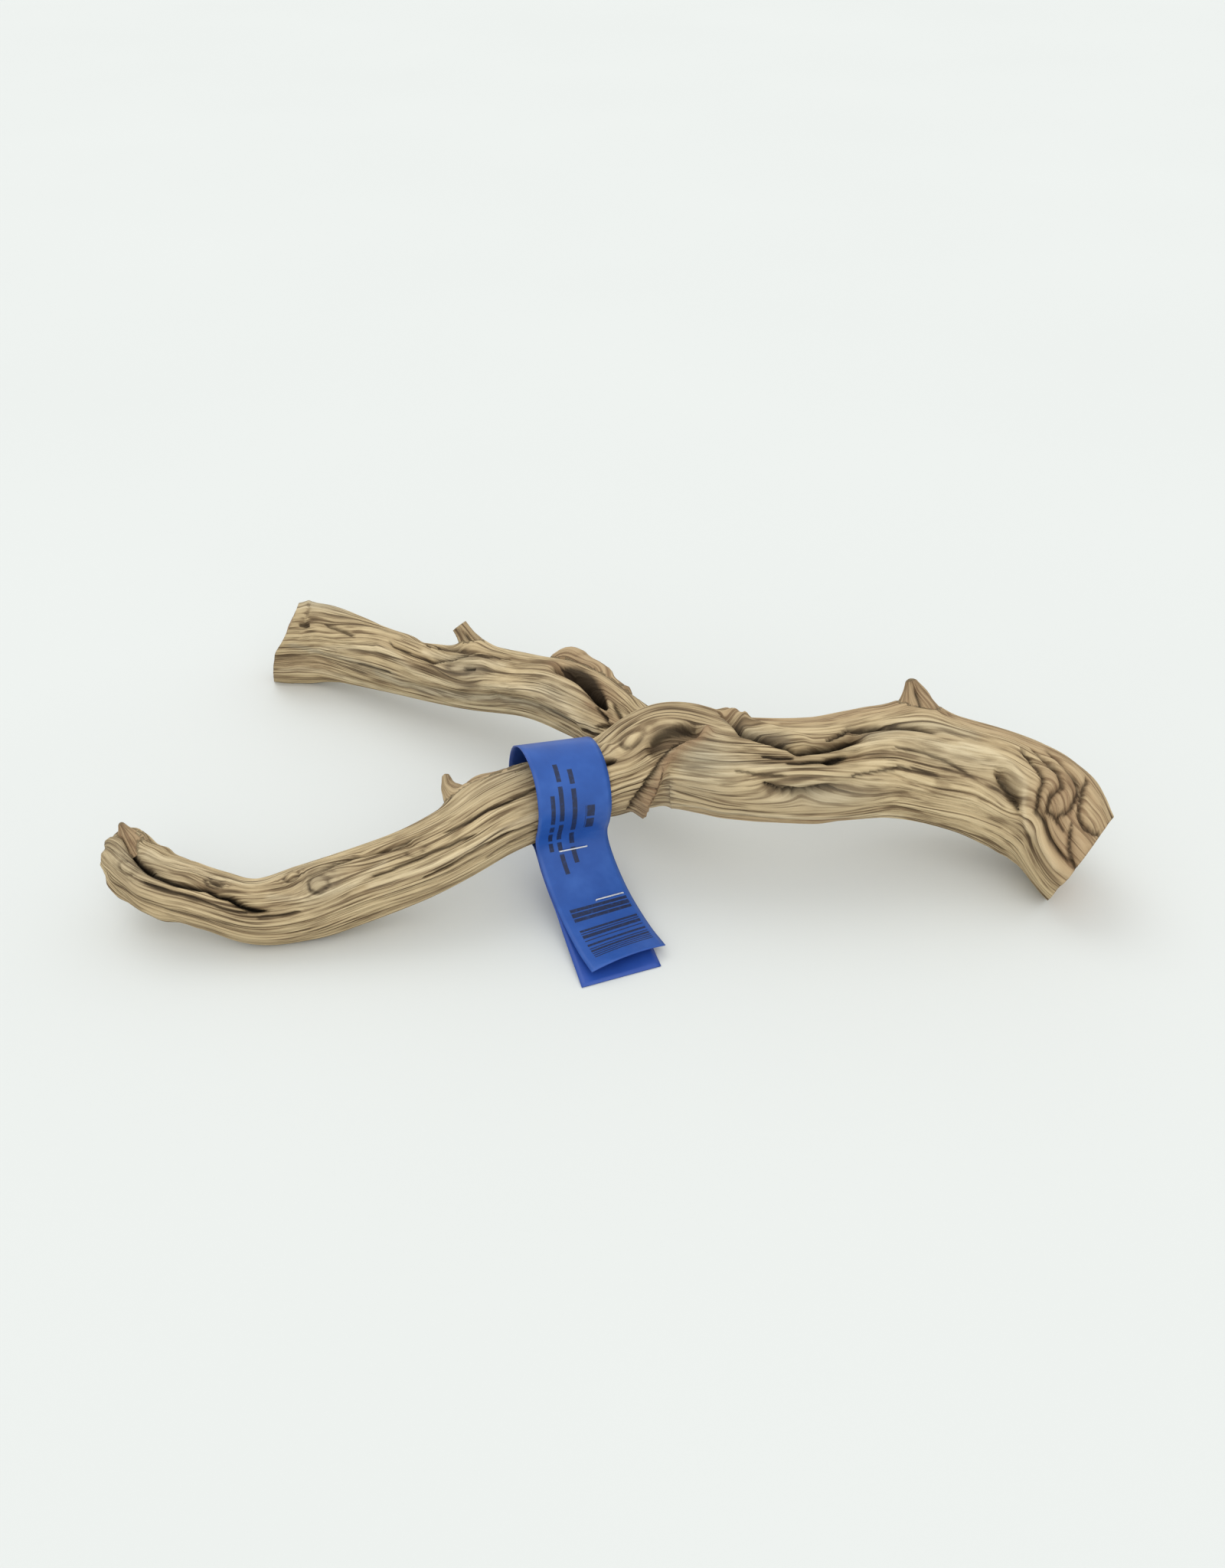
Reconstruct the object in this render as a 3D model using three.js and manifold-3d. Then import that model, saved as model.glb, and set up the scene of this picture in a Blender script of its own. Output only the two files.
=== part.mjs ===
// A weathered, sandblasted forked branch that lies on three low points, with a paper band stapled round one limb.
// Millimetres. +Z is up, +X runs to the thick sawn end and -Y is the front, where the band's tails lie.
// The origin is on the surface that the branch lies on, below the middle of its bounding box.
import * as THREE from "three";
import Module from "manifold-3d";
import { mergeVertices } from "three/addons/utils/BufferGeometryUtils.js";

const wasm = await Module();
wasm.setup();

// Driving dimensions of the band and its staples
const BAND_WIDTH = 31.75;
const BAND_THICKNESS = 0.5;
const STAPLE_CROWN = 12.7;
const STAPLE_WIRE = 0.55;
const CLEARANCE = 0.3;

const TURN = 2 * Math.PI;
const DEGREE = Math.PI / 180;
const UP = new THREE.Vector3(0, 0, 1);

// The main limb, from the hollow snout at the front left to the sawn end at the right.
// Each station is the centre x, y, z, then half the width and half the height of the section.
const MAIN_LIMB = {
  stations: [
    [-191.5, -66, 25, 6, 7],
    [-185.5, -69.5, 24.5, 11, 11.5],
    [-172, -79.5, 21.2, 12.5, 12.8],
    [-151, -85.5, 17.5, 11.5, 11.5],
    [-133, -87.5, 13.5, 12, 12.5],
    [-115, -83, 14.5, 14, 14],
    [-99, -79.5, 18.5, 14, 14],
    [-75, -73.5, 25.2, 13.5, 13.7],
    [-58, -65.5, 30.2, 14, 13.8],
    [-44, -58, 34.8, 14.6, 14.8],
    [-21, -47, 38.2, 14.6, 14.6],
    [1, -38.6, 42, 15.6, 15.8],
    [23, -33, 47.3, 21, 20.3],
    [49, -39, 46, 20.3, 20],
    [79, -40, 45.6, 20.8, 20.6],
    [110, -31.5, 43.5, 21.5, 22.3],
    [140, -32.3, 37.4, 21.6, 21.8],
    [160, -38, 32.6, 21, 23.2],
    [174.5, -48, 26.6, 19.6, 24.2],
    [182.5, -62.5, 19, 16.8, 22.6],
  ],
  stretches: [
    [70, 4],
    [180, 7.5],
    [310, 3.8],
    [355, 7],
    [420, 3.7],
  ],
  ridges: 11,
  seed: 3,
  swell: 0.9,
  ridgeDepth: 1.7,
  endCut: [0.79, -0.5, -0.36],
  // Knots that the grain flows round: distance along the limb, angle from the front, radius, rise (below 0 a pit).
  knots: [
    [49, 82, 2.5, -1.5],
    [85, 96, 3, 1.5],
    [97, 61, 4.5, 1.8],
    [220, 64, 4.5, 2],
    [286, 4, 9, -2.5],
    [373, 38, 5, -2.5],
  ],
  // Grooves (depth above 0) and raised ribs (below 0): from and to, each along and angle, then half width and depth.
  strokes: [
    [4, 84, 24, 62, 3.5, 5],
    [22, 62, 44, 58, 4.5, 5],
    [50, 60, 60, 62, 2, 3],
    [58, 66, 70, 44, 2.4, 4.5],
    [4, 40, 34, 28, 5, -1.5],
    [110, 84, 128, 70, 1.6, 1.5],
    [228, 44, 250, 72, 4.2, 6.5],
    [216, -20, 229, 15, 2.6, -3.2],
    [229, 15, 254, 82, 2.8, -3.4],
    [254, 122, 268, 76, 2.4, 4.5],
    [268, 76, 285, 56, 2.2, 5],
    [252, 136, 264, 100, 3, -3.4],
    [264, 100, 286, 68, 2.8, -3],
    [284, 55, 306, 66, 2.6, 6.5],
    [304, 74, 336, 71, 1.8, 2.5],
    [294, 42, 303, 48, 2.6, 4],
    [274, 16, 286, -2, 3.5, 2.5],
    [286, -2, 300, 16, 3.5, 2.5],
    [366, 48, 383, 22, 2.4, 3.5],
    [370, 72, 385, 48, 2.2, 2.2],
    [385, 48, 397, 12, 2.2, 2],
    [378, 78, 395, 58, 2.2, 3],
    [395, 58, 414, 46, 2.2, 3],
    [382, 90, 401, 62, 2.2, 2.6],
    [398, 106, 412, 74, 2.4, 3],
    [352, 150, 400, 140, 5, 2.4],
    [250, 190, 330, 205, 5, 2.5],
    [120, 215, 180, 190, 4, 2],
    [300, -60, 380, -75, 5, 2.2],
  ],
};

// The back limb, from its flared sawn end at the back left into the fork.
const BACK_LIMB = {
  stations: [
    [-156, 103.5, 20.1, 11.5, 20.5],
    [-145, 102, 21.2, 11, 21.5],
    [-128, 97, 23.2, 12, 19.2],
    [-97, 78, 23.8, 12.8, 14.6],
    [-63, 59.5, 28.4, 14.6, 15],
    [-35, 39.5, 35.7, 13.8, 13.6],
    [-14, 20.5, 40, 14.6, 15],
    [3, 2, 40, 14, 13.5],
    [17, -16, 41, 11, 9.5],
    [33, -29, 44, 8, 8],
  ],
  stretches: [
    [60, 6.5],
    [140, 4.7],
    [240, 5.4],
  ],
  ridges: 9,
  seed: 11,
  swell: 0.8,
  ridgeDepth: 1.5,
  startCut: [-0.955, 0.02, 0.29],
  knots: [
    [116, 40, 5.5, -2],
    [108, 92, 5, 2],
  ],
  strokes: [
    [62, 52, 84, 32, 3, -2.2],
    [84, 32, 144, 22, 3, -1.6],
    [144, 24, 186, 12, 3, -2],
    [72, 66, 98, 44, 2.6, 2.4],
    [80, -8, 130, -6, 3, 1.6],
    [130, -6, 184, 2, 3, 1.8],
    [18, 64, 46, 60, 3, 1.6],
    [2, 62, 14, 60, 2.2, 2.6],
    [78, 110, 100, 112, 6, 3],
    [160, 78, 186, 60, 3, 6],
    [184, 60, 198, 52, 2.2, 3.5],
    [190, 40, 204, 28, 2, 2],
    [30, 130, 110, 150, 5, 2],
    [60, 200, 150, 215, 4, 2],
  ],
};

// Short growths whose roots are sunk into the limbs. Stations as above; the last one is the tip.
const GROWTHS = {
  thorn: {
    stations: [
      [122.5, -29, 46, 10, 9],
      [121.5, -24, 57, 10, 7.5],
      [120.4, -20, 65, 6, 5],
      [118.4, -16.5, 72, 2, 2],
    ],
    lengthwise: [0, 1, 0],
  },
  twig: {
    stations: [
      [-58, 56, 36, 4.6, 5],
      [-61, 60.5, 43, 4.2, 4],
      [-63.8, 62.6, 47, 3.4, 3.1],
      [-67.2, 64.8, 51, 3.3, 2.7],
    ],
    lengthwise: [0, 1, 0],
  },
  spur: {
    stations: [
      [-29, -50, 46, 6, 6],
      [-44, -51.5, 44, 6.5, 6],
      [-56, -53, 41, 5.6, 5.4],
      [-61.5, -49.5, 42.5, 3.4, 3.4],
      [-64, -44, 45.6, 1.3, 1.5],
    ],
    lengthwise: [0, 0, 1],
  },
  plate: {
    stations: [
      [-25, 39, 38, 4, 7],
      [-16, 37, 44.4, 4.5, 9.5],
      [-7, 26, 44.8, 4.5, 9.6],
      [3, 12, 42, 5, 8.8],
      [11, -1, 42.5, 4, 6.5],
      [19, -11, 44, 2.5, 4],
    ],
    lengthwise: [0, 0, 1],
  },
  beak: {
    stations: [
      [-179, -71, 28, 6, 6],
      [-183, -68, 33.5, 4.5, 4],
      [-185.8, -66, 38, 1.5, 1.6],
    ],
    lengthwise: [0, 1, 0],
  },
};
const GROWTH_RINGS = 7;
const GROWTH_SIDES = 8;

// The band's run from the end of its upper tail, over the limb, back under it and out to the end of its lower tail.
// Each point is forward, up and sideways from BAND_ORIGIN, then which way the width points and its tilt in degrees.
const BAND_ORIGIN = [-17, -47];
const BAND_HEADING = 28;
const BAND_RUN = [
  [62, 4.6, -5.6, 30, -1],
  [51, 4.6, -5.2, 30, -2],
  [40, 5.8, -4.4, 30, -4],
  [30, 8.2, -3.7, 30, -6],
  [22.4, 12, -3.4, 30, -7],
  [16.2, 17, -3.3, 30, -8],
  [12.2, 22.4, -3.3, 30, -9],
  [12, 28.4, -3.8, 29, -10],
  [15, 36, -4.1, 29, -11],
  [16.4, 44.5, -4.2, 29, -11],
  [13.6, 53.5, -3.7, 29, -11],
  [7.4, 59.6, -3, 29, -10.5],
  [-1.5, 61.6, -2.2, 29, -10.5],
  [-10.2, 58, -1.4, 29, -10.5],
  [-16, 50.5, -0.6, 29, -10],
  [-18, 40.5, 0, 25, -8],
  [-16.8, 30.5, 0.4, 24, -5],
  [-11.4, 22.8, 0.5, 25, -2],
  [-3, 19.8, 0, 28, -4],
  [5.4, 21.8, -2, 30, -8],
  [10.9, 21.6, -3.3, 30, -9],
  [15.2, 16, -3.3, 30, -8],
  [21.8, 11.1, -3.6, 30, -7],
  [29.6, 7.2, -4.2, 30, -6],
  [42, 3.6, -6, 27, -2],
  [65.4, 0.4, -10.5, 22, 0],
];
const BAND_STEPS = 100;
const BAND_COLUMNS = 4;
const TAIL_ARCH = 1.6;

// Where each staple crosses the upper tail, as a share of the run, how far to the side of its middle, and how far
// behind it the lower tail lies there.
const STAPLES = {
  staple_upper: { share: 0.237, aside: -0.4, behind: 1.6 },
  staple_lower: { share: 0.12, aside: 7, behind: 1.12 },
};

const MATERIALS = {
  wood: new THREE.MeshStandardMaterial({ color: 0xa8906a, roughness: 0.9, metalness: 0 }),
  paper: new THREE.MeshStandardMaterial({ color: 0x2f55a4, roughness: 0.55, metalness: 0 }),
  steel: new THREE.MeshStandardMaterial({ color: 0xc9ccd0, roughness: 0.35, metalness: 1 }),
};

// A repeatable value from -1 to 1 for a lattice cell.
function lattice(i, j, seed) {
  const v = Math.sin(i * 127.1 + j * 311.7 + seed * 74.7) * 43758.5453;
  return 2 * (v - Math.floor(v)) - 1;
}

const smooth = (x) => x * x * (3 - 2 * x);

// Smooth noise round and along a limb: it closes on itself after one turn.
function noise(turns, along, cells, seed) {
  const x = (turns - Math.floor(turns)) * cells;
  const i = Math.floor(x);
  const j = Math.floor(along);
  const u = smooth(x - i);
  const v = smooth(along - j);
  const a = lattice(i % cells, j, seed) * (1 - u) + lattice((i + 1) % cells, j, seed) * u;
  const b = lattice(i % cells, j + 1, seed) * (1 - u) + lattice((i + 1) % cells, j + 1, seed) * u;
  return a * (1 - v) + b * v;
}

// An angle brought to the half turn either side of 0.
const wrapped = (angle) => angle - TURN * Math.round(angle / TURN);

// The angle at which a line of grain lies, so that lines wander and part round each knot.
function grainAngle(limb, s, turns, radius) {
  const wander = 0.03 * noise(turns, s / 58, 4, limb.seed + 1) + 0.011 * noise(turns, s / 24, 8, limb.seed + 2);
  let angle = TURN * (turns + wander);
  for (const [along, degrees, size] of limb.knots) {
    const x = (s - along) / (2.2 * size);
    const y = wrapped(angle - degrees * DEGREE) * radius;
    const opened = Math.tanh(y / (0.5 * size)) * Math.sqrt(y * y / 4 + size * size * Math.exp(-x * x));
    angle += ((y / 2 + opened - y) * Math.exp(-((y / (3 * size)) ** 2))) / radius;
  }
  return angle;
}

// How far a stroke presses the surface in, at a point of the unrolled limb.
function strokeDepth([s0, a0, s1, a1, halfWidth, depth], s, angle, radius) {
  const dx = s1 - s0;
  const dy = (a1 - a0) * DEGREE * radius;
  const x = s - s0;
  const y = wrapped(angle - a0 * DEGREE) * radius;
  const share = Math.min(1, Math.max(0, (x * dx + y * dy) / (dx * dx + dy * dy)));
  const off = Math.hypot(x - share * dx, y - share * dy) / halfWidth;
  return depth * Math.exp(-off * off * 1.4);
}

// How far the surface stands off the plain oval section: swells, ridges of grain, knots and strokes.
function relief(limb, s, turns, angle, radius) {
  let rise = limb.swell * noise(turns, s / 34, 5, limb.seed);
  const strength = 0.62 + 0.38 * noise(turns, s / 60, 5, limb.seed + 3);
  rise += limb.ridgeDepth * strength * (Math.abs(Math.sin((TURN / 2) * limb.ridges * turns)) ** 0.7 - 0.62);
  for (const [along, degrees, size, lift] of limb.knots) {
    const x = (s - along) / (1.5 * size);
    const y = (wrapped(angle - degrees * DEGREE) * radius) / size;
    rise += lift * Math.exp(-(x * x + y * y));
  }
  for (const stroke of limb.strokes) rise -= strokeDepth(stroke, s, angle, radius);
  return rise;
}

// A closed solid with a grid of side faces and a fan at each end.
function gridSolid(rows) {
  const sides = rows[0].length;
  const points = rows.flat();
  const middle = (row) => row.reduce((sum, p) => sum.add(p), new THREE.Vector3()).divideScalar(sides);
  const first = points.push(middle(rows[0])) - 1;
  const last = points.push(middle(rows.at(-1))) - 1;
  const faces = [];
  for (let j = 0; j < sides; j++) {
    const k = (j + 1) % sides;
    for (let i = 0; i + 1 < rows.length; i++) {
      const a = i * sides + j;
      const b = i * sides + k;
      faces.push(a, b, b + sides, a, b + sides, a + sides);
    }
    const end = (rows.length - 1) * sides;
    faces.push(first, k, j, last, end + j, end + k);
  }
  return solidFrom(points, faces);
}

function solidFrom(points, faces) {
  const made = new wasm.Manifold(
    new wasm.Mesh({
      numProp: 3,
      vertProperties: new Float32Array(points.flatMap((p) => [p.x, p.y, p.z])),
      triVerts: new Uint32Array(faces),
    }),
  );
  if (made.volume() > 0) return made;
  const turned = faces.flatMap((_, n) => (n % 3 ? [] : [faces[n], faces[n + 2], faces[n + 1]]));
  return solidFrom(points, turned);
}

// A three.js geometry as a solid, and back.
function solidOf(geometry) {
  const plain = geometry.clone();
  plain.deleteAttribute("normal");
  plain.deleteAttribute("uv");
  const merged = mergeVertices(plain, 1e-4);
  return new wasm.Manifold(
    new wasm.Mesh({
      numProp: 3,
      vertProperties: new Float32Array(merged.attributes.position.array),
      triVerts: new Uint32Array(merged.index.array),
    }),
  );
}

function geometryOf(solid) {
  const mesh = solid.getMesh();
  const geometry = new THREE.BufferGeometry();
  geometry.setAttribute("position", new THREE.BufferAttribute(new Float32Array(mesh.vertProperties), 3));
  geometry.setIndex(new THREE.BufferAttribute(new Uint32Array(mesh.triVerts), 1));
  geometry.computeVertexNormals();
  return geometry;
}

// The centre line through the stations, and their half sizes carried along it in the same way.
function runOf(stations) {
  const curve = (pick) => new THREE.CatmullRomCurve3(stations.map(pick), false, "catmullrom", 0.5);
  return {
    line: curve(([x, y, z]) => new THREE.Vector3(x, y, z)),
    sizes: curve(([, , , width, height]) => new THREE.Vector3(width, height, 0)),
  };
}

// Slides an end's points along the limb so that they meet the plane of the saw cut.
function slideToCut(offset, direction, cut, weight) {
  return cut ? (-offset.dot(cut) / direction.dot(cut)) * weight : 0;
}

// Where the rings lie along a limb: each stretch gives where it ends and how far apart its rings are.
function ringPlaces(stretches, length) {
  const places = [0];
  for (const [end, spacing] of stretches) {
    const stop = Math.min(end, length);
    const start = places.at(-1);
    const count = Math.max(1, Math.round((stop - start) / spacing));
    for (let i = 1; i <= count; i++) places.push(start + ((stop - start) * i) / count);
  }
  return places;
}

// A limb: an oval section carried along its line, with its relief, and worn flat where it would pass below the surface.
function limbSolid(limb) {
  const { line, sizes } = runOf(limb.stations);
  const length = line.getLength();
  const cutReach = 26;
  const sides = limb.ridges * 4;
  const startCut = limb.startCut && new THREE.Vector3(...limb.startCut);
  const endCut = limb.endCut && new THREE.Vector3(...limb.endCut);
  const rows = [];
  for (const s of ringPlaces(limb.stretches, length)) {
    const t = line.getUtoTmapping(s / length);
    const centre = line.getPoint(t);
    const along = line.getTangent(t);
    const side = new THREE.Vector3().crossVectors(along, UP).normalize();
    const up = new THREE.Vector3().crossVectors(side, along);
    const { x: a, y: b } = sizes.getPoint(t);
    const radius = (a + b) / 2;
    const row = [];
    for (let j = 0; j < sides; j++) {
      const turns = j / sides;
      const angle = grainAngle(limb, s, turns, radius);
      const oval = (a * b) / Math.hypot(b * Math.cos(angle), a * Math.sin(angle));
      const reach = oval + relief(limb, s, turns, angle, radius);
      const offset = side.clone().multiplyScalar(reach * Math.cos(angle)).addScaledVector(up, reach * Math.sin(angle));
      const slide =
        slideToCut(offset, along, startCut, smooth(Math.max(0, 1 - s / cutReach))) +
        slideToCut(offset, along, endCut, smooth(Math.max(0, 1 - (length - s) / cutReach)));
      const point = centre.clone().add(offset).addScaledVector(along, slide);
      point.z = Math.max(0, point.z);
      row.push(point);
    }
    rows.push(row);
  }
  return gridSolid(rows);
}

// A growth: a short tapering limb with few sides. Its oval lies across the run, its width along lengthwise.
function growthSolid(growth) {
  const { line, sizes } = runOf(growth.stations);
  const rows = [];
  for (let i = 0; i < GROWTH_RINGS; i++) {
    const t = i / (GROWTH_RINGS - 1);
    const along = line.getTangent(t);
    const side = new THREE.Vector3().crossVectors(along, new THREE.Vector3(...growth.lengthwise)).normalize();
    const up = new THREE.Vector3().crossVectors(side, along);
    const { x: a, y: b } = sizes.getPoint(t);
    const row = [];
    for (let j = 0; j < GROWTH_SIDES; j++) {
      const angle = (TURN * j) / GROWTH_SIDES;
      const ridge = j % 2 ? 1 : 0.84;
      const centre = line.getPoint(t);
      row.push(
        centre.addScaledVector(side, ridge * a * Math.cos(angle)).addScaledVector(up, ridge * b * Math.sin(angle)),
      );
    }
    rows.push(row);
  }
  return gridSolid(rows);
}

function branchGeometry() {
  const solids = [MAIN_LIMB, BACK_LIMB].map(limbSolid).concat(Object.values(GROWTHS).map(growthSolid));
  const joined = solids.reduce((whole, solid) => whole.add(solid));
  return geometryOf(joined.decompose().sort((a, b) => b.volume() - a.volume())[0]);
}

// A direction on the level, turned from +X towards +Y.
const level = (degrees) => new THREE.Vector3(Math.cos(degrees * DEGREE), Math.sin(degrees * DEGREE), 0);

// The band's middle line, and the heading and tilt of its width carried along in the same way.
const bandLine = new THREE.CatmullRomCurve3(
  BAND_RUN.map(([forward, height, sideways]) =>
    new THREE.Vector3(...BAND_ORIGIN, height)
      .addScaledVector(level(BAND_HEADING - 90), forward)
      .addScaledVector(level(BAND_HEADING), sideways),
  ),
  false,
  "catmullrom",
  0.5,
);
const bandTurn = new THREE.CatmullRomCurve3(
  BAND_RUN.map(([, , , heading, tilt]) => new THREE.Vector3(heading, tilt, 0)),
  false,
  "catmullrom",
  0.5,
);

function bandFrame(share) {
  const { x: heading, y: tilt } = bandTurn.getPoint(share);
  const across = level(heading).multiplyScalar(Math.cos(tilt * DEGREE));
  across.z = Math.sin(tilt * DEGREE);
  const along = bandLine.getTangent(share);
  const face = new THREE.Vector3().crossVectors(across, along).normalize();
  return { centre: bandLine.getPoint(share), across, along, face };
}

// The band: a thin strip on its run, its upper tail's end arched a little across the width.
function bandSolid() {
  const rows = [];
  for (let i = 0; i <= BAND_STEPS; i++) {
    const share = i / BAND_STEPS;
    const { centre, across, face } = bandFrame(share);
    const arch = TAIL_ARCH * Math.max(0, 1 - share / 0.09) ** 2;
    const at = (column, side) => {
      const w = (2 * column) / BAND_COLUMNS - 1;
      return centre
        .clone()
        .addScaledVector(across, (w * BAND_WIDTH) / 2)
        .addScaledVector(face, arch * (1 - w * w) + (side * BAND_THICKNESS) / 2);
    };
    const columns = [...Array(BAND_COLUMNS + 1).keys()];
    rows.push([...columns.map((c) => at(c, -1)), ...columns.reverse().map((c) => at(c, 1))]);
  }
  return gridSolid(rows);
}

// The placing of a staple: its crown along the width of the upper tail, its legs pointing through the tail.
function staplePlacing({ share, aside }) {
  const { centre, across, face } = bandFrame(share);
  const crown = across.clone();
  const run = new THREE.Vector3().crossVectors(crown, face).normalize();
  return new THREE.Matrix4().makeBasis(crown, face, run).setPosition(centre.clone().addScaledVector(across, aside));
}

// A staple seen along the band: its crown, two legs through both tails and two arms folded in behind them.
function stapleGeometry(staple) {
  const half = STAPLE_CROWN / 2;
  const arm = 4.8;
  const top = BAND_THICKNESS / 2 + CLEARANCE + STAPLE_WIRE;
  const bottom = -(staple.behind + BAND_THICKNESS / 2 + CLEARANCE + STAPLE_WIRE);
  const corners = [
    [-half, top],
    [-half, bottom],
    [arm - half, bottom],
    [arm - half, bottom + STAPLE_WIRE],
    [STAPLE_WIRE - half, bottom + STAPLE_WIRE],
    [STAPLE_WIRE - half, top - STAPLE_WIRE],
  ];
  const outline = corners.concat(corners.map(([x, y]) => [-x, y]).reverse());
  const shape = new THREE.Shape(outline.map(([x, y]) => new THREE.Vector2(x, y)));
  const geometry = new THREE.ExtrudeGeometry(shape, { depth: STAPLE_WIRE, bevelEnabled: false });
  return geometry.translate(0, 0, -STAPLE_WIRE / 2).applyMatrix4(staplePlacing(staple));
}

// The holes that a staple's legs go through, a clearance wider than the wire on each side.
function stapleHoles(staple) {
  const size = STAPLE_WIRE + 2 * CLEARANCE;
  return [-1, 1].map((side) => {
    const hole = new THREE.BoxGeometry(size, staple.behind + 2, size);
    hole.translate((side * (STAPLE_CROWN - STAPLE_WIRE)) / 2, -staple.behind / 2, 0);
    return solidOf(hole.applyMatrix4(staplePlacing(staple)));
  });
}

function bandGeometry() {
  const holes = Object.values(STAPLES).flatMap(stapleHoles);
  return geometryOf(holes.reduce((band, hole) => band.subtract(hole), bandSolid()));
}

function named(name, geometry, material) {
  const mesh = new THREE.Mesh(geometry, material);
  mesh.name = name;
  return mesh;
}

const group = new THREE.Group();
group.add(named("branch", branchGeometry(), MATERIALS.wood));
group.add(named("tag", bandGeometry(), MATERIALS.paper));
for (const [name, staple] of Object.entries(STAPLES)) {
  group.add(named(name, stapleGeometry(staple), MATERIALS.steel));
}

export default group;
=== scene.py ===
import math

import bpy
import numpy as np
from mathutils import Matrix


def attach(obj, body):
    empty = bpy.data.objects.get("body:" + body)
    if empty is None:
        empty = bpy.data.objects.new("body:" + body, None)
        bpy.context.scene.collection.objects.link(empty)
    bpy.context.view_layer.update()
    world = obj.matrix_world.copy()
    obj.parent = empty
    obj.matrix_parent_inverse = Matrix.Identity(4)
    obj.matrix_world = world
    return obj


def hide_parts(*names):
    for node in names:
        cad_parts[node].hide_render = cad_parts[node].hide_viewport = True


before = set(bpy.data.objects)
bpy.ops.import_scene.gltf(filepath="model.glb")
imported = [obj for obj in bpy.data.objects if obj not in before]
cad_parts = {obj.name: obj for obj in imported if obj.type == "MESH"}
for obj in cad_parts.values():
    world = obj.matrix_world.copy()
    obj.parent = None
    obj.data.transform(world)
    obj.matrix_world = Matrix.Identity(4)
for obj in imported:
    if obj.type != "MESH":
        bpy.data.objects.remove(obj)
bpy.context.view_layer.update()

mm = 0.001
turn = 2 * math.pi
print("stage: CAD frame loaded")

# Camera
camera = {
    "target": (1, -13, 20),   # mm, the point that it looks at
    "distance": 650,
    "elevation": 35,          # degrees above the floor
    "lens": 36,
    "sensor": 36,
    "nearest": 0.01,          # metres
}


def makeCamera(settings):
    tilt = math.radians(settings["elevation"])
    data = bpy.data.cameras.new("frontCamera")
    data.lens = settings["lens"]
    data.sensor_width = settings["sensor"]
    data.clip_start = settings["nearest"]
    made = bpy.data.objects.new("frontCamera", data)
    x, y, z = settings["target"]
    reach = settings["distance"]
    made.location = (x * mm, (y - reach * math.cos(tilt)) * mm, (z + reach * math.sin(tilt)) * mm)
    made.rotation_euler = (math.pi / 2 - tilt, 0, 0)
    bpy.context.scene.collection.objects.link(made)
    bpy.context.scene.camera = made


makeCamera(camera)
print("stage: camera placed")


# Node helpers
def addNode(tree, kind, inputs=None, **settings):
    # A node with its settings; each input is a value or another node's output.
    made = tree.nodes.new(kind)
    for key, value in settings.items():
        setattr(made, key, value)
    for key, value in (inputs or {}).items():
        if isinstance(value, bpy.types.NodeSocket):
            tree.links.new(value, made.inputs[key])
        else:
            made.inputs[key].default_value = value
    return made


def maths(tree, operation, a, b=0.0, clamp=False):
    # One sum on two numbers or outputs.
    return addNode(tree, "ShaderNodeMath", {0: a, 1: b}, operation=operation, use_clamp=clamp).outputs[0]


def ramp(tree, factor, stops, interpolation="LINEAR"):
    # A colour ramp; each stop is a place and a colour or a grey.
    made = addNode(tree, "ShaderNodeValToRGB", {"Fac": factor})
    made.color_ramp.interpolation = interpolation
    points = made.color_ramp.elements
    while len(points) < len(stops):
        points.new(1.0)
    for point, (place, colour) in zip(points, stops):
        point.position = place
        point.color = (*colour, 1) if isinstance(colour, tuple) else (colour, colour, colour, 1)
    return made.outputs["Color"]


def blended(tree, factor, a, b):
    # The colour a (1 - factor) + b factor.
    made = addNode(tree, "ShaderNodeMix", data_type="RGBA")
    for key, value in ((0, factor), (6, a), (7, b)):
        if isinstance(value, bpy.types.NodeSocket):
            tree.links.new(value, made.inputs[key])
        else:
            made.inputs[key].default_value = (*value, 1) if isinstance(value, tuple) else value
    return made.outputs[2]


def attribute(tree, name, output="Fac"):
    return addNode(tree, "ShaderNodeAttribute", attribute_name=name).outputs[output]


def noiseAt(tree, place, stretch, scale, detail=3.0, roughness=0.55):
    # Noise whose grains are drawn out by dividing the place by the stretch along each axis.
    drawn = addNode(tree, "ShaderNodeMapping", {"Vector": place, "Scale": stretch}).outputs["Vector"]
    made = addNode(
        tree,
        "ShaderNodeTexNoise",
        {"Vector": drawn, "Scale": scale, "Detail": detail, "Roughness": roughness},
    )
    return made.outputs["Fac"]


def newMaterial(name, **sockets):
    # A material with plain values on its shader's own sockets.
    made = bpy.data.materials.new(name)
    made.use_nodes = True
    shader = made.node_tree.nodes["Principled BSDF"]
    for key, value in sockets.items():
        shader.inputs[key.replace("_", " ")].default_value = value
    return made, made.node_tree, shader


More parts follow.
